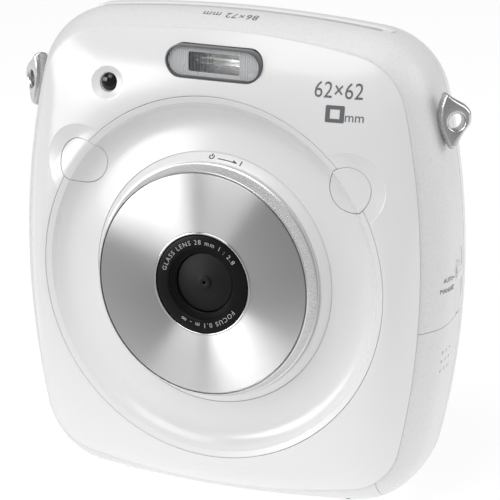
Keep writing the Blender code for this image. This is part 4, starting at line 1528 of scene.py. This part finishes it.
@dataclass
class FlashUnit:
    """The flash: a grey rim, a clear window with prismatic ends, and the reflector and tube behind it."""

    central: Tuple[float, float] = (14.1, 5.0)
    rim_size: Tuple[float, float] = (26.4, 8.3)
    rim_wall: float = 0.42
    rib_pitch: float = 0.6
    rib_high: float = 0.18

    def build(self) -> None:
        """Build the rim, the window, the backing, the reflector and the tube."""
        low, high = low_high("flash_window")
        centre = (low + high) / 2
        width, height = self.rim_size
        front = low.y
        rim = as_mesh(prism(stadium(width, height, height / 2 - 0.01, 24),
                            Vector((0, front + 0.7, centre.z)), 2.6, Axis.Y, 0.2), "rim")
        width, height = width - 2 * self.rim_wall, height - 2 * self.rim_wall
        opening = prism(stadium(width, height, height / 2 - 0.01, 24),
                        Vector((0, front, centre.z)), 20, Axis.Y)
        add_piece("flash_rim", combine(rim, [opening]), RIM_GREY, "root")
        self.window(front, centre.z, width - 0.1, height - 0.1)
        self.backing(front + 1.9, centre.z, width - 0.1, height - 0.1)
        self.reflector(centre.z)

    def window(self, front: float, z: float, width: float, height: float) -> None:
        """Build the clear window: plain in the middle, with upright prisms at both ends.

        Args:
            front: the window's front.
            z: its middle height.
            width: its width.
            height: its height.
        """
        face: List[Point] = []
        half, plain = width / 2 + 1.0, self.central[0] / 2
        count = int((half - plain) / self.rib_pitch)
        for k in range(count, -1, -1):
            x = -plain - k * self.rib_pitch
            face += [(x, 0.0), (x + self.rib_pitch / 2, -self.rib_high)] if k else [(x, 0.0)]
        face += [(-x, y) for x, y in reversed(face)]
        rear = 1.2
        outline = face + [(face[-1][0], rear), (face[0][0], rear)]
        solid = prism(outline, Vector((0, front + 0.45, z)), height + 4, Axis.Z)
        mesh = as_mesh(solid, "window")
        shape = prism(stadium(width, height, height / 2 - 0.01, 24), Vector((0, front + 1, z)), 12, Axis.Y)
        pane, at = stadium(self.central[0], self.central[1], 0.4), Vector((0, front + 1, z))
        clear = combine(mesh, [prism(pane, at, 12, Axis.Y)], "INTERSECT")
        add_piece("flash_window_clear", clear, CLEAR, "root")
        ends = combine(combine(mesh, [shape], "INTERSECT"), [prism(pane, at, 12, Axis.Y)])
        add_piece("flash_window_prismatic", ends, FROSTED, "root", ["flash_window"])

    def backing(self, y: float, z: float, width: float, height: float) -> None:
        """Build the pale plate behind the prisms, open over the reflector.

        Args:
            y: the plate's front.
            z: its middle height.
            width: its width.
            height: its height.
        """
        plate = as_mesh(prism(stadium(width, height, height / 2 - 0.01, 16),
                              Vector((0, y + 0.3, z)), 0.6, Axis.Y), "backing")
        opening = prism(stadium(self.central[0], self.central[1], 0.5), Vector((0, y, z)), 9, Axis.Y)
        add_piece("flash_backing", combine(plate, [opening]), FLASH_PALE, "root")

    def reflector(self, z: float) -> None:
        """Build the plated trough, its side walls, the tube and the trigger wires across it.

        Args:
            z: its middle height.
        """
        low, high = low_high("flash_reflector")
        centre = (low + high) / 2
        mesh = as_mesh(block(low, high, 0.15), "reflector")
        trough: List[Point] = []
        for k in range(25):
            t = -1 + k / 12
            trough.append((low.y - 1 + (high.y - low.y) * (1 - 0.75 * t * t), t * 3.0))
        cut = prism([(low.y - 2, -3.2)] + trough + [(low.y - 2, 3.2)], Vector((0, 0, z)),
                    high.x - low.x - 1.2, Axis.X)
        add_piece("flash_reflector_plated", combine(mesh, [cut]), REFLECTOR, "root", ["flash_reflector"])
        low, high = low_high("flash_tube")
        centre = (low + high) / 2
        radius = (high.z - low.z) / 2
        profile = rounded([(0, low.x), (radius, low.x), (radius, high.x), (0, high.x)], 0.35, 4, closed=False)
        tube = turned(profile, Vector((0, centre.y, centre.z)), Axis.X, 32)
        add_solid("flash_tube_glass", tube, CLEAR, "root", ["flash_tube"])
        wires = bmesh.new()
        for k in range(9):
            x = -7.4 + 0.8 * k
            merge_in(wires, block((x - 0.09, centre.y - 1.35, z - 2.6), (x + 0.09, centre.y - 1.15, z + 2.6)))
        add_solid("flash_guard_wires", wires, STEEL, "root")


@dataclass
class LightSensor:
    """The small glossy dome over the light sensor, in a thin ring."""

    def build(self) -> None:
        """Build the dome and its ring."""
        low, high = low_high("light_sensor_window")
        centre, radius = (low + high) / 2, (high.x - low.x) / 2
        profile: List[Point] = [(0, low.y)]
        for k in range(1, 13):
            angle = math.pi / 2 * k / 12
            profile.append((radius * math.sin(angle), low.y + 1.35 * (1 - math.cos(angle))))
        profile += [(radius, high.y), (0, high.y)]
        at = Vector((centre.x, 0, centre.z))
        add_solid("light_sensor_dome", turned(profile, at, Axis.Y, 64), DARK_GLASS, "root",
                  ["light_sensor_window"])
        ring = rounded([(radius + 0.02, low.y + 2.2), (radius + 0.02, low.y + 1.25),
                        (radius + 0.5, low.y + 1.35), (radius + 0.5, low.y + 2.2)], 0.2, 3)
        add_solid("light_sensor_ring", turned(ring, at, Axis.Y, 64), WHITE_GLOSS, "root")


@dataclass
class ShutterButtons:
    """The two round buttons whose caps carry the dish's crease and bevel across them."""

    form: BodyForm
    rings: int = 34
    proud: float = 0.04

    def build(self) -> None:
        """Build both buttons."""
        for side in ("left", "right"):
            node = "shutter_button_" + side
            low, high = low_high(node)
            centre, radius = (low + high) / 2, (high.x - low.x) / 2
            add_solid(node + "_cap", self.cap(centre, radius, high.y), WHITE_GLOSS, "shutter_" + side, [node])

    def cap(self, centre: Vector, radius: float, rear: float) -> Solid:
        """Return a button whose face follows the front surface.

        Args:
            centre: the button's middle.
            radius: its radius.
            rear: the y of its rear.

        Returns:
            The button.
        """
        def skirt(r: float, y: Optional[float], drop: float = 0.0) -> Ring:
            """Return a ring of the button at a radius, flat at y or on the front surface."""
            def point(angle: float) -> Vector:
                """Return the point in a direction."""
                x, z = centre.x + r * math.cos(angle), centre.z + r * math.sin(angle)
                return Vector((x, self.form.button_y(x, z) - self.proud + drop if y is None else y, z))
            return point
        rings = [skirt(0.05, rear), skirt(radius, rear), skirt(radius, None, 0.26),
                 skirt(radius - 0.06, None, 0.09)]
        rings += [skirt((radius - 0.16) * (1 - k / self.rings), None) for k in range(self.rings)]
        rings.append(skirt(0.03, None))
        return ring_sweep(rings, 160, Close.CAPS)


# ---------------------------------------------------------------- the rear


@dataclass
class RearDoor:
    """The film door with its screen, the command dial, the keys and the latch."""

    form: BodyForm
    key_edge: float = 0.45

    def build(self) -> None:
        """Build the door and everything it carries."""
        self.panel()
        self.screen()
        self.dial()
        self.keys()
        self.latch()

    def panel(self) -> None:
        """Build the door panel with its openings."""
        form = self.form
        low, high = low_high("film_door")
        outline = form.door
        rings = [form.outline_ring(outline.inset(0.3), low.y), form.outline_ring(outline, low.y + 0.3)]
        rings += [form.outline_ring(outline.inset(0.7 * (1 - math.cos(a))), high.y - 0.7 + 0.7 * math.sin(a))
                  for a in (0.0, 0.4, 0.8, 1.2, math.pi / 2)]
        solid = ring_sweep(rings, form.steps, Close.CAPS)
        window, dial = middle("lcd_window"), middle("command_dial")
        win_low, win_high = low_high("lcd_window")
        cutters = [prism(stadium(win_high.x - win_low.x + 0.4, win_high.z - win_low.z + 0.4, 2.0, 8),
                         Vector((0, high.y, window.z)), 12, Axis.Y)]
        cutters.append(turned([(0, 15), (13.25, 15), (13.25, 23.05), (13.55, 23.35), (13.55, 30), (0, 30)],
                              Vector((0, 0, dial.z)), Axis.Y))
        latch_low, latch_high = low_high("film_door_latch")
        cutters.append(block((latch_low.x - 0.25, latch_low.y - 0.2, latch_low.z - 0.25),
                             (latch_high.x + 0.25, 30, latch_high.z + 3.8)))
        for name in self.key_names():
            key_low, key_high = low_high(name)
            centre, radius = (key_low + key_high) / 2, (key_high.x - key_low.x) / 2 + 0.2
            cutters.append(turned([(0, 15), (radius, 15), (radius, 23.05), (radius + 0.3, 23.35),
                                   (radius + 0.3, 30), (0, 30)],
                                  Vector((centre.x, 0, centre.z)), Axis.Y, 64))
        add_piece("film_door_panel", combine(as_mesh(solid, "door"), cutters), WHITE_SATIN, "film_door",
                  ["film_door"])

    @staticmethod
    def key_names() -> List[str]:
        """Return the names of the round keys' nodes."""
        return [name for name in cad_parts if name.endswith("_key")]

    def screen(self) -> None:
        """Build the screen window."""
        low, high = low_high("lcd_window")
        centre = (low + high) / 2
        width, height = high.x - low.x, high.z - low.z
        pane = prism(stadium(width, height, 1.8, 10), centre, high.y - low.y, Axis.Y, 0.2)
        add_solid("screen_window", pane, DARK_GLASS, "film_door", ["lcd_window"])

    def dial(self) -> None:
        """Build the ridged command dial and the domed button in its middle."""
        low, high = low_high("command_dial")
        centre = (low + high) / 2
        teeth = 72

        def ring(radius: float, y: float, bite: float = 0.0) -> Ring:
            """Return a ring of the dial, notched by the bite."""
            def point(angle: float) -> Vector:
                """Return the point in a direction."""
                wave = 0.5 + 0.5 * math.cos(teeth * angle)
                r = radius - bite * wave ** 3
                return Vector((centre.x + r * math.cos(angle), y, centre.z + r * math.sin(angle)))
            return point
        top = high.y
        outer, inner = high.x - centre.x, 7.2
        rings = [ring(inner, low.y), ring(inner, top - 0.6), ring(inner + 0.2, top - 0.35),
                 ring(8.0, top - 0.05), ring(8.4, top), ring(10.6, top), ring(10.9, top - 0.05, 0.0),
                 ring(11.9, top - 0.12, 0.4),
                 ring(outer - 0.5, top - 0.45, 0.5), ring(outer - 0.1, top - 1.2, 0.4), ring(outer, low.y)]
        add_solid("command_dial_ridged", ring_sweep(rings, teeth * 8, Close.LOOP), GREY_ABS, "command_dial",
                  ["command_dial"])
        low, high = low_high("ok_button")
        self.domed_key("ok_button_domed", low, high, "ok_button", "ok_button", 0.35)

    def domed_key(self, name: str, low: Vector, high: Vector, body: str, node: str, dome: float) -> None:
        """Build a round key with a shallow dome.

        Args:
            name: the piece's name.
            low: its box's lowest corner.
            high: its box's highest corner.
            body: the CAD body it moves with.
            node: the CAD node it stands for.
            dome: how far its middle stands up.
        """
        centre, radius = (low + high) / 2, (high.x - low.x) / 2
        profile: List[Point] = [(0, low.y), (radius, low.y), (radius, high.y - self.key_edge - dome * 0.6)]
        for k in range(1, 11):
            angle = math.pi / 2 * k / 10
            profile.append((radius - self.key_edge * (1 - math.cos(angle)),
                            high.y - dome * 0.6 - self.key_edge * (1 - math.sin(angle))))
        for k in range(1, 9):
            t = 1 - k / 8
            profile.append(((radius - self.key_edge) * t, high.y - dome * 0.6 * t * t))
        key = turned(profile, Vector((centre.x, 0, centre.z)), Axis.Y, 72)
        add_solid(name, key, WHITE_GLOSS, body, [node])

    def keys(self) -> None:
        """Build the six round keys."""
        for name in self.key_names():
            low, high = low_high(name)
            self.domed_key(name + "_domed", low, high, name, name, 0.2)

    def latch(self) -> None:
        """Build the sliding latch with its finger ridges."""
        low, high = low_high("film_door_latch")
        mesh = as_mesh(block(low, high, 0.4), "latch")
        grooves = []
        for k in range(5):
            z = low.z + 2.4 + 1.6 * k
            grooves.append(block((low.x + 0.8, high.y - 0.45, z - 0.3), (high.x - 0.8, high.y + 1, z + 0.3)))
        add_piece("film_door_latch_ridged", combine(mesh, grooves), GREY_ABS, "film_door_latch",
                  ["film_door_latch"])


# ---------------------------------------------------------------- printed marks


@dataclass
class PrintedMarks:
    """Everything printed on the camera: generic numbers and pictograms in grey ink."""

    form: BodyForm
    ink: float = 0.03

    def build(self) -> None:
        """Print the bezel, the base cone, the badge and the band."""
        self.bezel_text("GLASS LENS 28 mm 1 : 2.8", 1.2, 10.9, 101.0, 1.3)
        self.bezel_text("FOCUS 0.1 m - ∞", 1.2, 10.9, -78.0, 1.3)
        self.power_marks()
        self.badge()
        self.switch_labels()
        self.film_size_text()
        self.key_symbols()

    def bezel_text(self, text: str, height: float, radius: float, middle_deg: float, spacing: float) -> None:
        """Print text round the bezel, tops outwards.

        Args:
            text: the text.
            height: the height of its capitals.
            radius: of the line through its middle.
            middle_deg: the direction of its middle in degrees.
            spacing: the letter spacing as a factor.
        """
        front = low_high("lens_bezel")[0].y
        lens = self.form.lens

        def place(u: float, v: float, w: float) -> Vector:
            """Return a point on the bezel's flat face."""
            angle = math.radians(middle_deg) - u / radius
            r = radius + v
            return Vector((r * math.cos(angle), front - self.ink / 2 - w, lens.z + r * math.sin(angle)))
        solid = wrap(lettering(text, height, self.ink, spacing), place)
        name = "bezel_print_top" if middle_deg > 0 else "bezel_print_bottom"
        add_solid(name, solid, PALE_INK, "root")

    @staticmethod
    def flat(outline: Sequence[Point], thickness: float) -> Solid:
        """Return a flat shape lying in X and Y."""
        return prism(outline, Vector((0, 0, 0)), thickness, Axis.Z)

    def arc_band(self, inner: float, outer: float, start: float, end: float, thickness: float) -> Solid:
        """Return a flat band along an arc given in degrees.

        Args:
            inner: the inner radius.
            outer: the outer radius.
            start: where it starts.
            end: where it ends.
            thickness: its thickness.

        Returns:
            The band.
        """
        angles = [math.radians(lerp(start, end, k / 24)) for k in range(25)]
        outline = [(outer * math.cos(a), outer * math.sin(a)) for a in angles]
        outline += [(inner * math.cos(a), inner * math.sin(a)) for a in reversed(angles)]
        return self.flat(outline, thickness)

    def power_marks(self) -> None:
        """Print the power symbol, the arrow and the stop mark on the base cone."""
        form = self.form
        top = low_high("lens_base_ring")[0].y
        start, end = Vector((31.25, top + 0.2)), Vector((form.base_r - 0.25, form.foot_y - 0.35))
        slope = (end - start).normalized()
        outwards = Vector((-slope.y, slope.x)) * -1
        centre = (start + end) / 2
        marks = self.arc_band(0.48, 0.76, 125, 415, self.ink)
        merge_in(marks, self.flat([(-0.15, 0.15), (0.15, 0.15), (0.15, 1.0), (-0.15, 1.0)], self.ink))
        bmesh.ops.translate(marks, vec=(-0.5, 0, 0), verts=marks.verts)
        steps = 12
        for k in range(steps):
            a, b = lerp(1.3, 6.6, k / steps), lerp(1.3, 6.6, (k + 1) / steps)
            merge_in(marks, self.flat([(a, -0.5), (b, -0.5), (b, -0.22), (a, -0.22)], self.ink))
        merge_in(marks, self.flat([(5.4, -0.22), (6.6, -0.5), (6.6, -0.22), (5.5, 0.3)], self.ink))
        merge_in(marks, self.flat([(7.5, -0.75), (7.82, -0.75), (7.82, 0.75), (7.5, 0.75)], self.ink))

        def place(u: float, v: float, w: float) -> Vector:
            """Return a point on the cone."""
            spot = centre + slope * v + outwards * (w + self.ink / 2)
            angle = math.radians(89.0) - u / centre.x
            return Vector((spot.x * math.cos(angle), spot.y, form.lens_z + spot.x * math.sin(angle)))
        add_solid("power_marks_print", wrap(marks, place), DARK_INK, "root")

    def on_front(self, x: float, z: float) -> Callable[[float, float, float], Vector]:
        """Return a place function for the front face about a point.

        Args:
            x: the point across.
            z: its height.

        Returns:
            The place function.
        """
        def place(u: float, v: float, w: float) -> Vector:
            """Return a point just off the front face."""
            return Vector((x + u, self.form.front_y(x + u, z + v) - self.ink / 2 - w - 0.02, z + v))
        return place

    def badge(self) -> None:
        """Print the badge: the picture size in millimetres over a square-frame pictogram."""
        centre_x, top_z, low_z = 33.8, self.form.body_z + 48.4, self.form.body_z + 42.6
        size = lettering("62×62", 3.9, self.ink, 1.02)
        bmesh.ops.scale(size, vec=(0.87, 1.0, 1.0), verts=size.verts)
        add_solid("badge_picture_size", wrap(size, self.on_front(centre_x, top_z)), GREY_INK, "root")
        panel = self.flat(stadium(4.9, 4.2, 0.4), self.ink)
        mesh = combine(as_mesh(panel, "panel"), [self.flat(stadium(2.5, 2.3, 0.15), 4)])
        solid = bmesh.new()
        solid.from_mesh(mesh)
        bmesh.ops.scale(solid, vec=(1 / MM, 1 / MM, 1 / MM), verts=solid.verts)
        add_solid("badge_square_frame", wrap(solid, self.on_front(centre_x - 0.4, low_z)), GREY_INK, "root")
        unit = wrap(lettering("mm", 2.3, self.ink), self.on_front(centre_x + 4.6, low_z - 0.5))
        add_solid("badge_unit", unit, GREY_INK, "root")

    def switch_labels(self) -> None:
        """Print the two switch positions and their ticks beside the mode switch."""
        form = self.form
        for name, text, y, z in (("auto", "AUTO", -4.1, 63.2), ("manual", "MANUAL", -4.25, 60.6)):
            label = lettering(text, 1.15, self.ink)
            bmesh.ops.translate(label, vec=(0, 0.57, 0), verts=label.verts)
            tick_v = 0.35 if name == "auto" else 0.85
            merge_in(label, self.flat([(2.2, tick_v), (3.6, tick_v), (3.6, tick_v + 0.28),
                                       (2.2, tick_v + 0.28)], self.ink))

            def place(u: float, v: float, w: float, y: float = y, z: float = z) -> Vector:
                """Return a point just off the band's side."""
                return Vector((form.side_x(y + u, z + v) + self.ink / 2 + w + 0.02, y + u, z + v))
            add_solid("switch_label_" + name, wrap(label, place), GREY_INK, "root")

    def film_size_text(self) -> None:
        """Print the film size in front of the film slot, to be read from behind the camera."""
        form = self.form
        text = lettering("86×72 mm", 2.3, self.ink, 1.1)

        def place(u: float, v: float, w: float) -> Vector:
            """Return a point just off the top of the band, turned to be read from behind."""
            x, y = -u, -7.3 - v
            outline = form.body_outline(y)
            height = form.body_z
            for _ in range(2):
                angle = math.atan2(height if height > 0 else 1.0, x)
                radius = outline.radius(angle)
                height = math.sqrt(max(1.0, radius * radius - x * x))
            return Vector((x, y, form.body_z + height + self.ink / 2 + w + 0.02))
        add_solid("film_size_print", wrap(text, place), GREY_INK, "root")

    def key_symbols(self) -> None:
        """Print a small symbol on each key."""
        def triangle(size: float, turn: float) -> List[Point]:
            """Return a triangle pointing in a direction given in degrees."""
            angles = [math.radians(turn + 120 * k) for k in range(3)]
            return [(size * math.cos(a), size * math.sin(a)) for a in angles]
        symbols: Dict[str, List[Solid]] = {
            "filter_key": [self.arc_band(0.9, 1.15, 0, 359, self.ink),
                           self.arc_band(0.0, 0.9, 90, 270, self.ink)],
            "vignette_key": [self.arc_band(0.55, 1.2, 0, 359, self.ink)],
            "brightness_key": [self.arc_band(0.0, 0.6, 0, 359, self.ink)],
            "print_key": [self.flat(stadium(2.0, 1.5, 0.2), self.ink)],
            "playback_key": [self.flat(triangle(1.15, 0), self.ink)],
            "back_key": [self.arc_band(0.75, 1.05, -60, 210, self.ink),
                         self.flat(triangle(0.6, 150), self.ink)],
        }
        for k in range(8):
            angle = math.radians(45 * k)
            c, s = math.cos(angle), math.sin(angle)
            ray = [(0.85 * c + 0.09 * s, 0.85 * s - 0.09 * c), (1.3 * c + 0.09 * s, 1.3 * s - 0.09 * c),
                   (1.3 * c - 0.09 * s, 1.3 * s + 0.09 * c), (0.85 * c - 0.09 * s, 0.85 * s + 0.09 * c)]
            symbols["brightness_key"].append(self.flat(ray, self.ink))
        for name, parts in symbols.items():
            low, high = low_high(name)
            centre = (low + high) / 2
            solid = merge_in(parts[0], *parts[1:])

            def place(u: float, v: float, w: float, centre: Vector = centre, top: float = high.y) -> Vector:
                """Return a point just off a key's dome, seen from behind."""
                sink = 0.12 * (u * u + v * v) / 9.0
                return Vector((centre.x - u, top - sink + self.ink / 2 + w + 0.01, centre.z + v))
            add_solid(name + "_symbol", wrap(solid, place), GREY_INK, name)


# ---------------------------------------------------------------- inside


@dataclass
class Internals:
    """The working parts inside the body, which keep their CAD shapes and take real finishes."""

    def build(self) -> None:
        """Dress the CAD nodes that stay showing."""
        dress_node(BLACK_MATT, "lens_barrel", "film_chamber", "slot_light_shield", "print_head")
        dress_node(BLACK_GLOSS, "film_pack", "flash_capacitor")
        dress_node(CLEAR, "focus_lens_group")
        dress_node(BOARD, "image_sensor_board", "main_circuit_board")
        dress_node(STEEL, "film_claw", "eject_roller_front", "eject_roller_rear", "drive_motor",
                   "memory_card_socket", "usb_socket", "film_door_pin", "lcd_module")
        dress_node(BRASS, "roller_gear_front", "roller_gear_rear", "motor_pinion")
        dress_node(WHITE_SATIN, "idler_gear")
        dress_node(GREY_ABS, "battery")


# ---------------------------------------------------------------- studio


@dataclass
class Studio:
    """A pale floor with a painted glow, soft lights and the camera."""

    form: BodyForm
    azimuth: float = 24.54
    elevation: float = 14.99
    roll: float = 0.36
    distance: float = 802.0
    lens_mm: float = 226.8
    aim: Tuple[float, float] = (-10.15, -7.47)
    glow: Tuple[float, float] = (0.12, 0.80)
    glow_depth: Tuple[float, float] = (-0.16, -0.06)
    sky: float = 0.33

    def build(self) -> None:
        """Build the floor, the lights and the camera."""
        self.floor()
        self.lights()
        self.camera()

    def floor(self) -> None:
        """Build the floor, with a painted glow that is dim in front of the body and bright under and behind
        it, and the even light around it.
        """
        solid = bmesh.new()
        bmesh.ops.create_grid(solid, x_segments=8, y_segments=8, size=4000.0)
        mesh = as_mesh(solid, "floor")
        glowing_backdrop = bpy.data.materials.new("glowing white backdrop")
        glowing_backdrop.use_nodes = True
        tree = glowing_backdrop.node_tree
        shader = tree.nodes["Principled BSDF"]
        shader.inputs["Base Color"].default_value = linear("#8E8E8E")
        shader.inputs["Roughness"].default_value = 0.9
        shader.inputs["Specular IOR Level"].default_value = 0.1
        # Painted glow: the floor's emission, dim in front of the body and bright under and behind it, makes
        # the backdrop read white while less of it lights the camera's front.
        shader.inputs["Emission Color"].default_value = linear("#FFFFFF")
        place = add_node(tree, "ShaderNodeTexCoord").outputs["Object"]
        depth = add_node(tree, "ShaderNodeSeparateXYZ", {"Vector": place}).outputs["Y"]
        glow = add_node(tree, "ShaderNodeMapRange", {"Value": depth, "From Min": self.glow_depth[0],
                                                     "From Max": self.glow_depth[1],
                                                     "To Min": self.glow[0], "To Max": self.glow[1]})
        tree.links.new(glow.outputs["Result"], shader.inputs["Emission Strength"])
        mesh.materials.append(glowing_backdrop)
        floor = bpy.data.objects.new("studio_floor", mesh)
        bpy.context.scene.collection.objects.link(floor)
        world = bpy.data.worlds.new("studio")
        world.use_nodes = True
        world.node_tree.nodes["Background"].inputs["Color"].default_value = linear("#FFFFFF")
        world.node_tree.nodes["Background"].inputs["Strength"].default_value = self.sky
        bpy.context.scene.world = world
        bpy.context.scene.view_settings.view_transform = "Standard"

    def light(self, name: str, azimuth: float, elevation: float, distance: float, size: Tuple[float, float],
              power: float) -> bpy.types.Object:
        """Add a soft box that faces the camera body.

        Args:
            name: the light's name.
            azimuth: degrees round from straight in front, positive towards +X.
            elevation: degrees up.
            distance: from the middle of the body, in millimetres.
            size: width and height in millimetres.
            power: watts.

        Returns:
            The light.
        """
        data = bpy.data.lights.new(name, "AREA")
        data.shape = "RECTANGLE"
        data.size, data.size_y = size[0] * MM, size[1] * MM
        data.energy = power
        a, e = math.radians(azimuth), math.radians(elevation)
        towards = Vector((math.sin(a) * math.cos(e), -math.cos(a) * math.cos(e), math.sin(e)))
        lamp = bpy.data.objects.new(name, data)
        lamp.location = (towards * distance + Vector((0, 0, self.form.body_z))) * MM
        lamp.rotation_euler = towards.to_track_quat("Z", "Y").to_euler()
        bpy.context.scene.collection.objects.link(lamp)
        return lamp

    def lights(self) -> None:
        """Place the soft boxes."""
        self.light("key_softbox", -40.0, 14.0, 1300.0, (480.0, 480.0), 1.9)
        self.light("upper_softbox", -10.0, 48.0, 1300.0, (800.0, 800.0), 6.6)
        self.light("top_softbox", 0.0, 80.0, 1300.0, (900.0, 900.0), 3.6)
        self.light("side_fill", 114.0, 26.0, 1500.0, (900.0, 900.0), 5.8)
        # The card shows only in gloss: it gives the turned metal its bright sectors.
        card = self.light("gloss_card", -54.0, 2.0, 1300.0, (1100.0, 1000.0), 15.5)
        card.visible_diffuse = False

    def camera(self) -> None:
        """Place the camera."""
        a, e, roll = (math.radians(v) for v in (self.azimuth, self.elevation, self.roll))
        back = Vector((math.sin(a) * math.cos(e), -math.cos(a) * math.cos(e), math.sin(e)))
        level = Vector((math.cos(a), math.sin(a), 0.0))
        rise = back.cross(level)
        right = math.cos(roll) * level + math.sin(roll) * rise
        up = math.cos(roll) * rise - math.sin(roll) * level
        target = Vector((0.0, self.form.dish_y, self.form.lens_z))
        place = target + back * self.distance - right * self.aim[0] - up * self.aim[1]
        data = bpy.data.cameras.new("camera")
        data.sensor_width = 36.0
        data.lens = self.lens_mm
        data.clip_start = 0.01
        camera = bpy.data.objects.new("camera", data)
        turn = Matrix((right, up, back)).transposed().to_4x4()
        camera.matrix_world = Matrix.Translation(place * MM) @ turn
        bpy.context.scene.collection.objects.link(camera)
        bpy.context.scene.camera = camera


def main() -> None:
    """Build the camera piece by piece."""
    logging.basicConfig(level=logging.INFO, format="%(message)s")
    form = BodyForm()
    for part in (FrontShell(form), SideBand(form), RearShell(form), StrapLugs(), Underside(), ModeSwitch(),
                 LensDial(form), FlashUnit(), LightSensor(), ShutterButtons(form), RearDoor(form),
                 PrintedMarks(form), Internals(), Studio(form)):
        LOG.info("building %s", type(part).__name__)
        part.build()


if __name__ == "__main__":
    main()
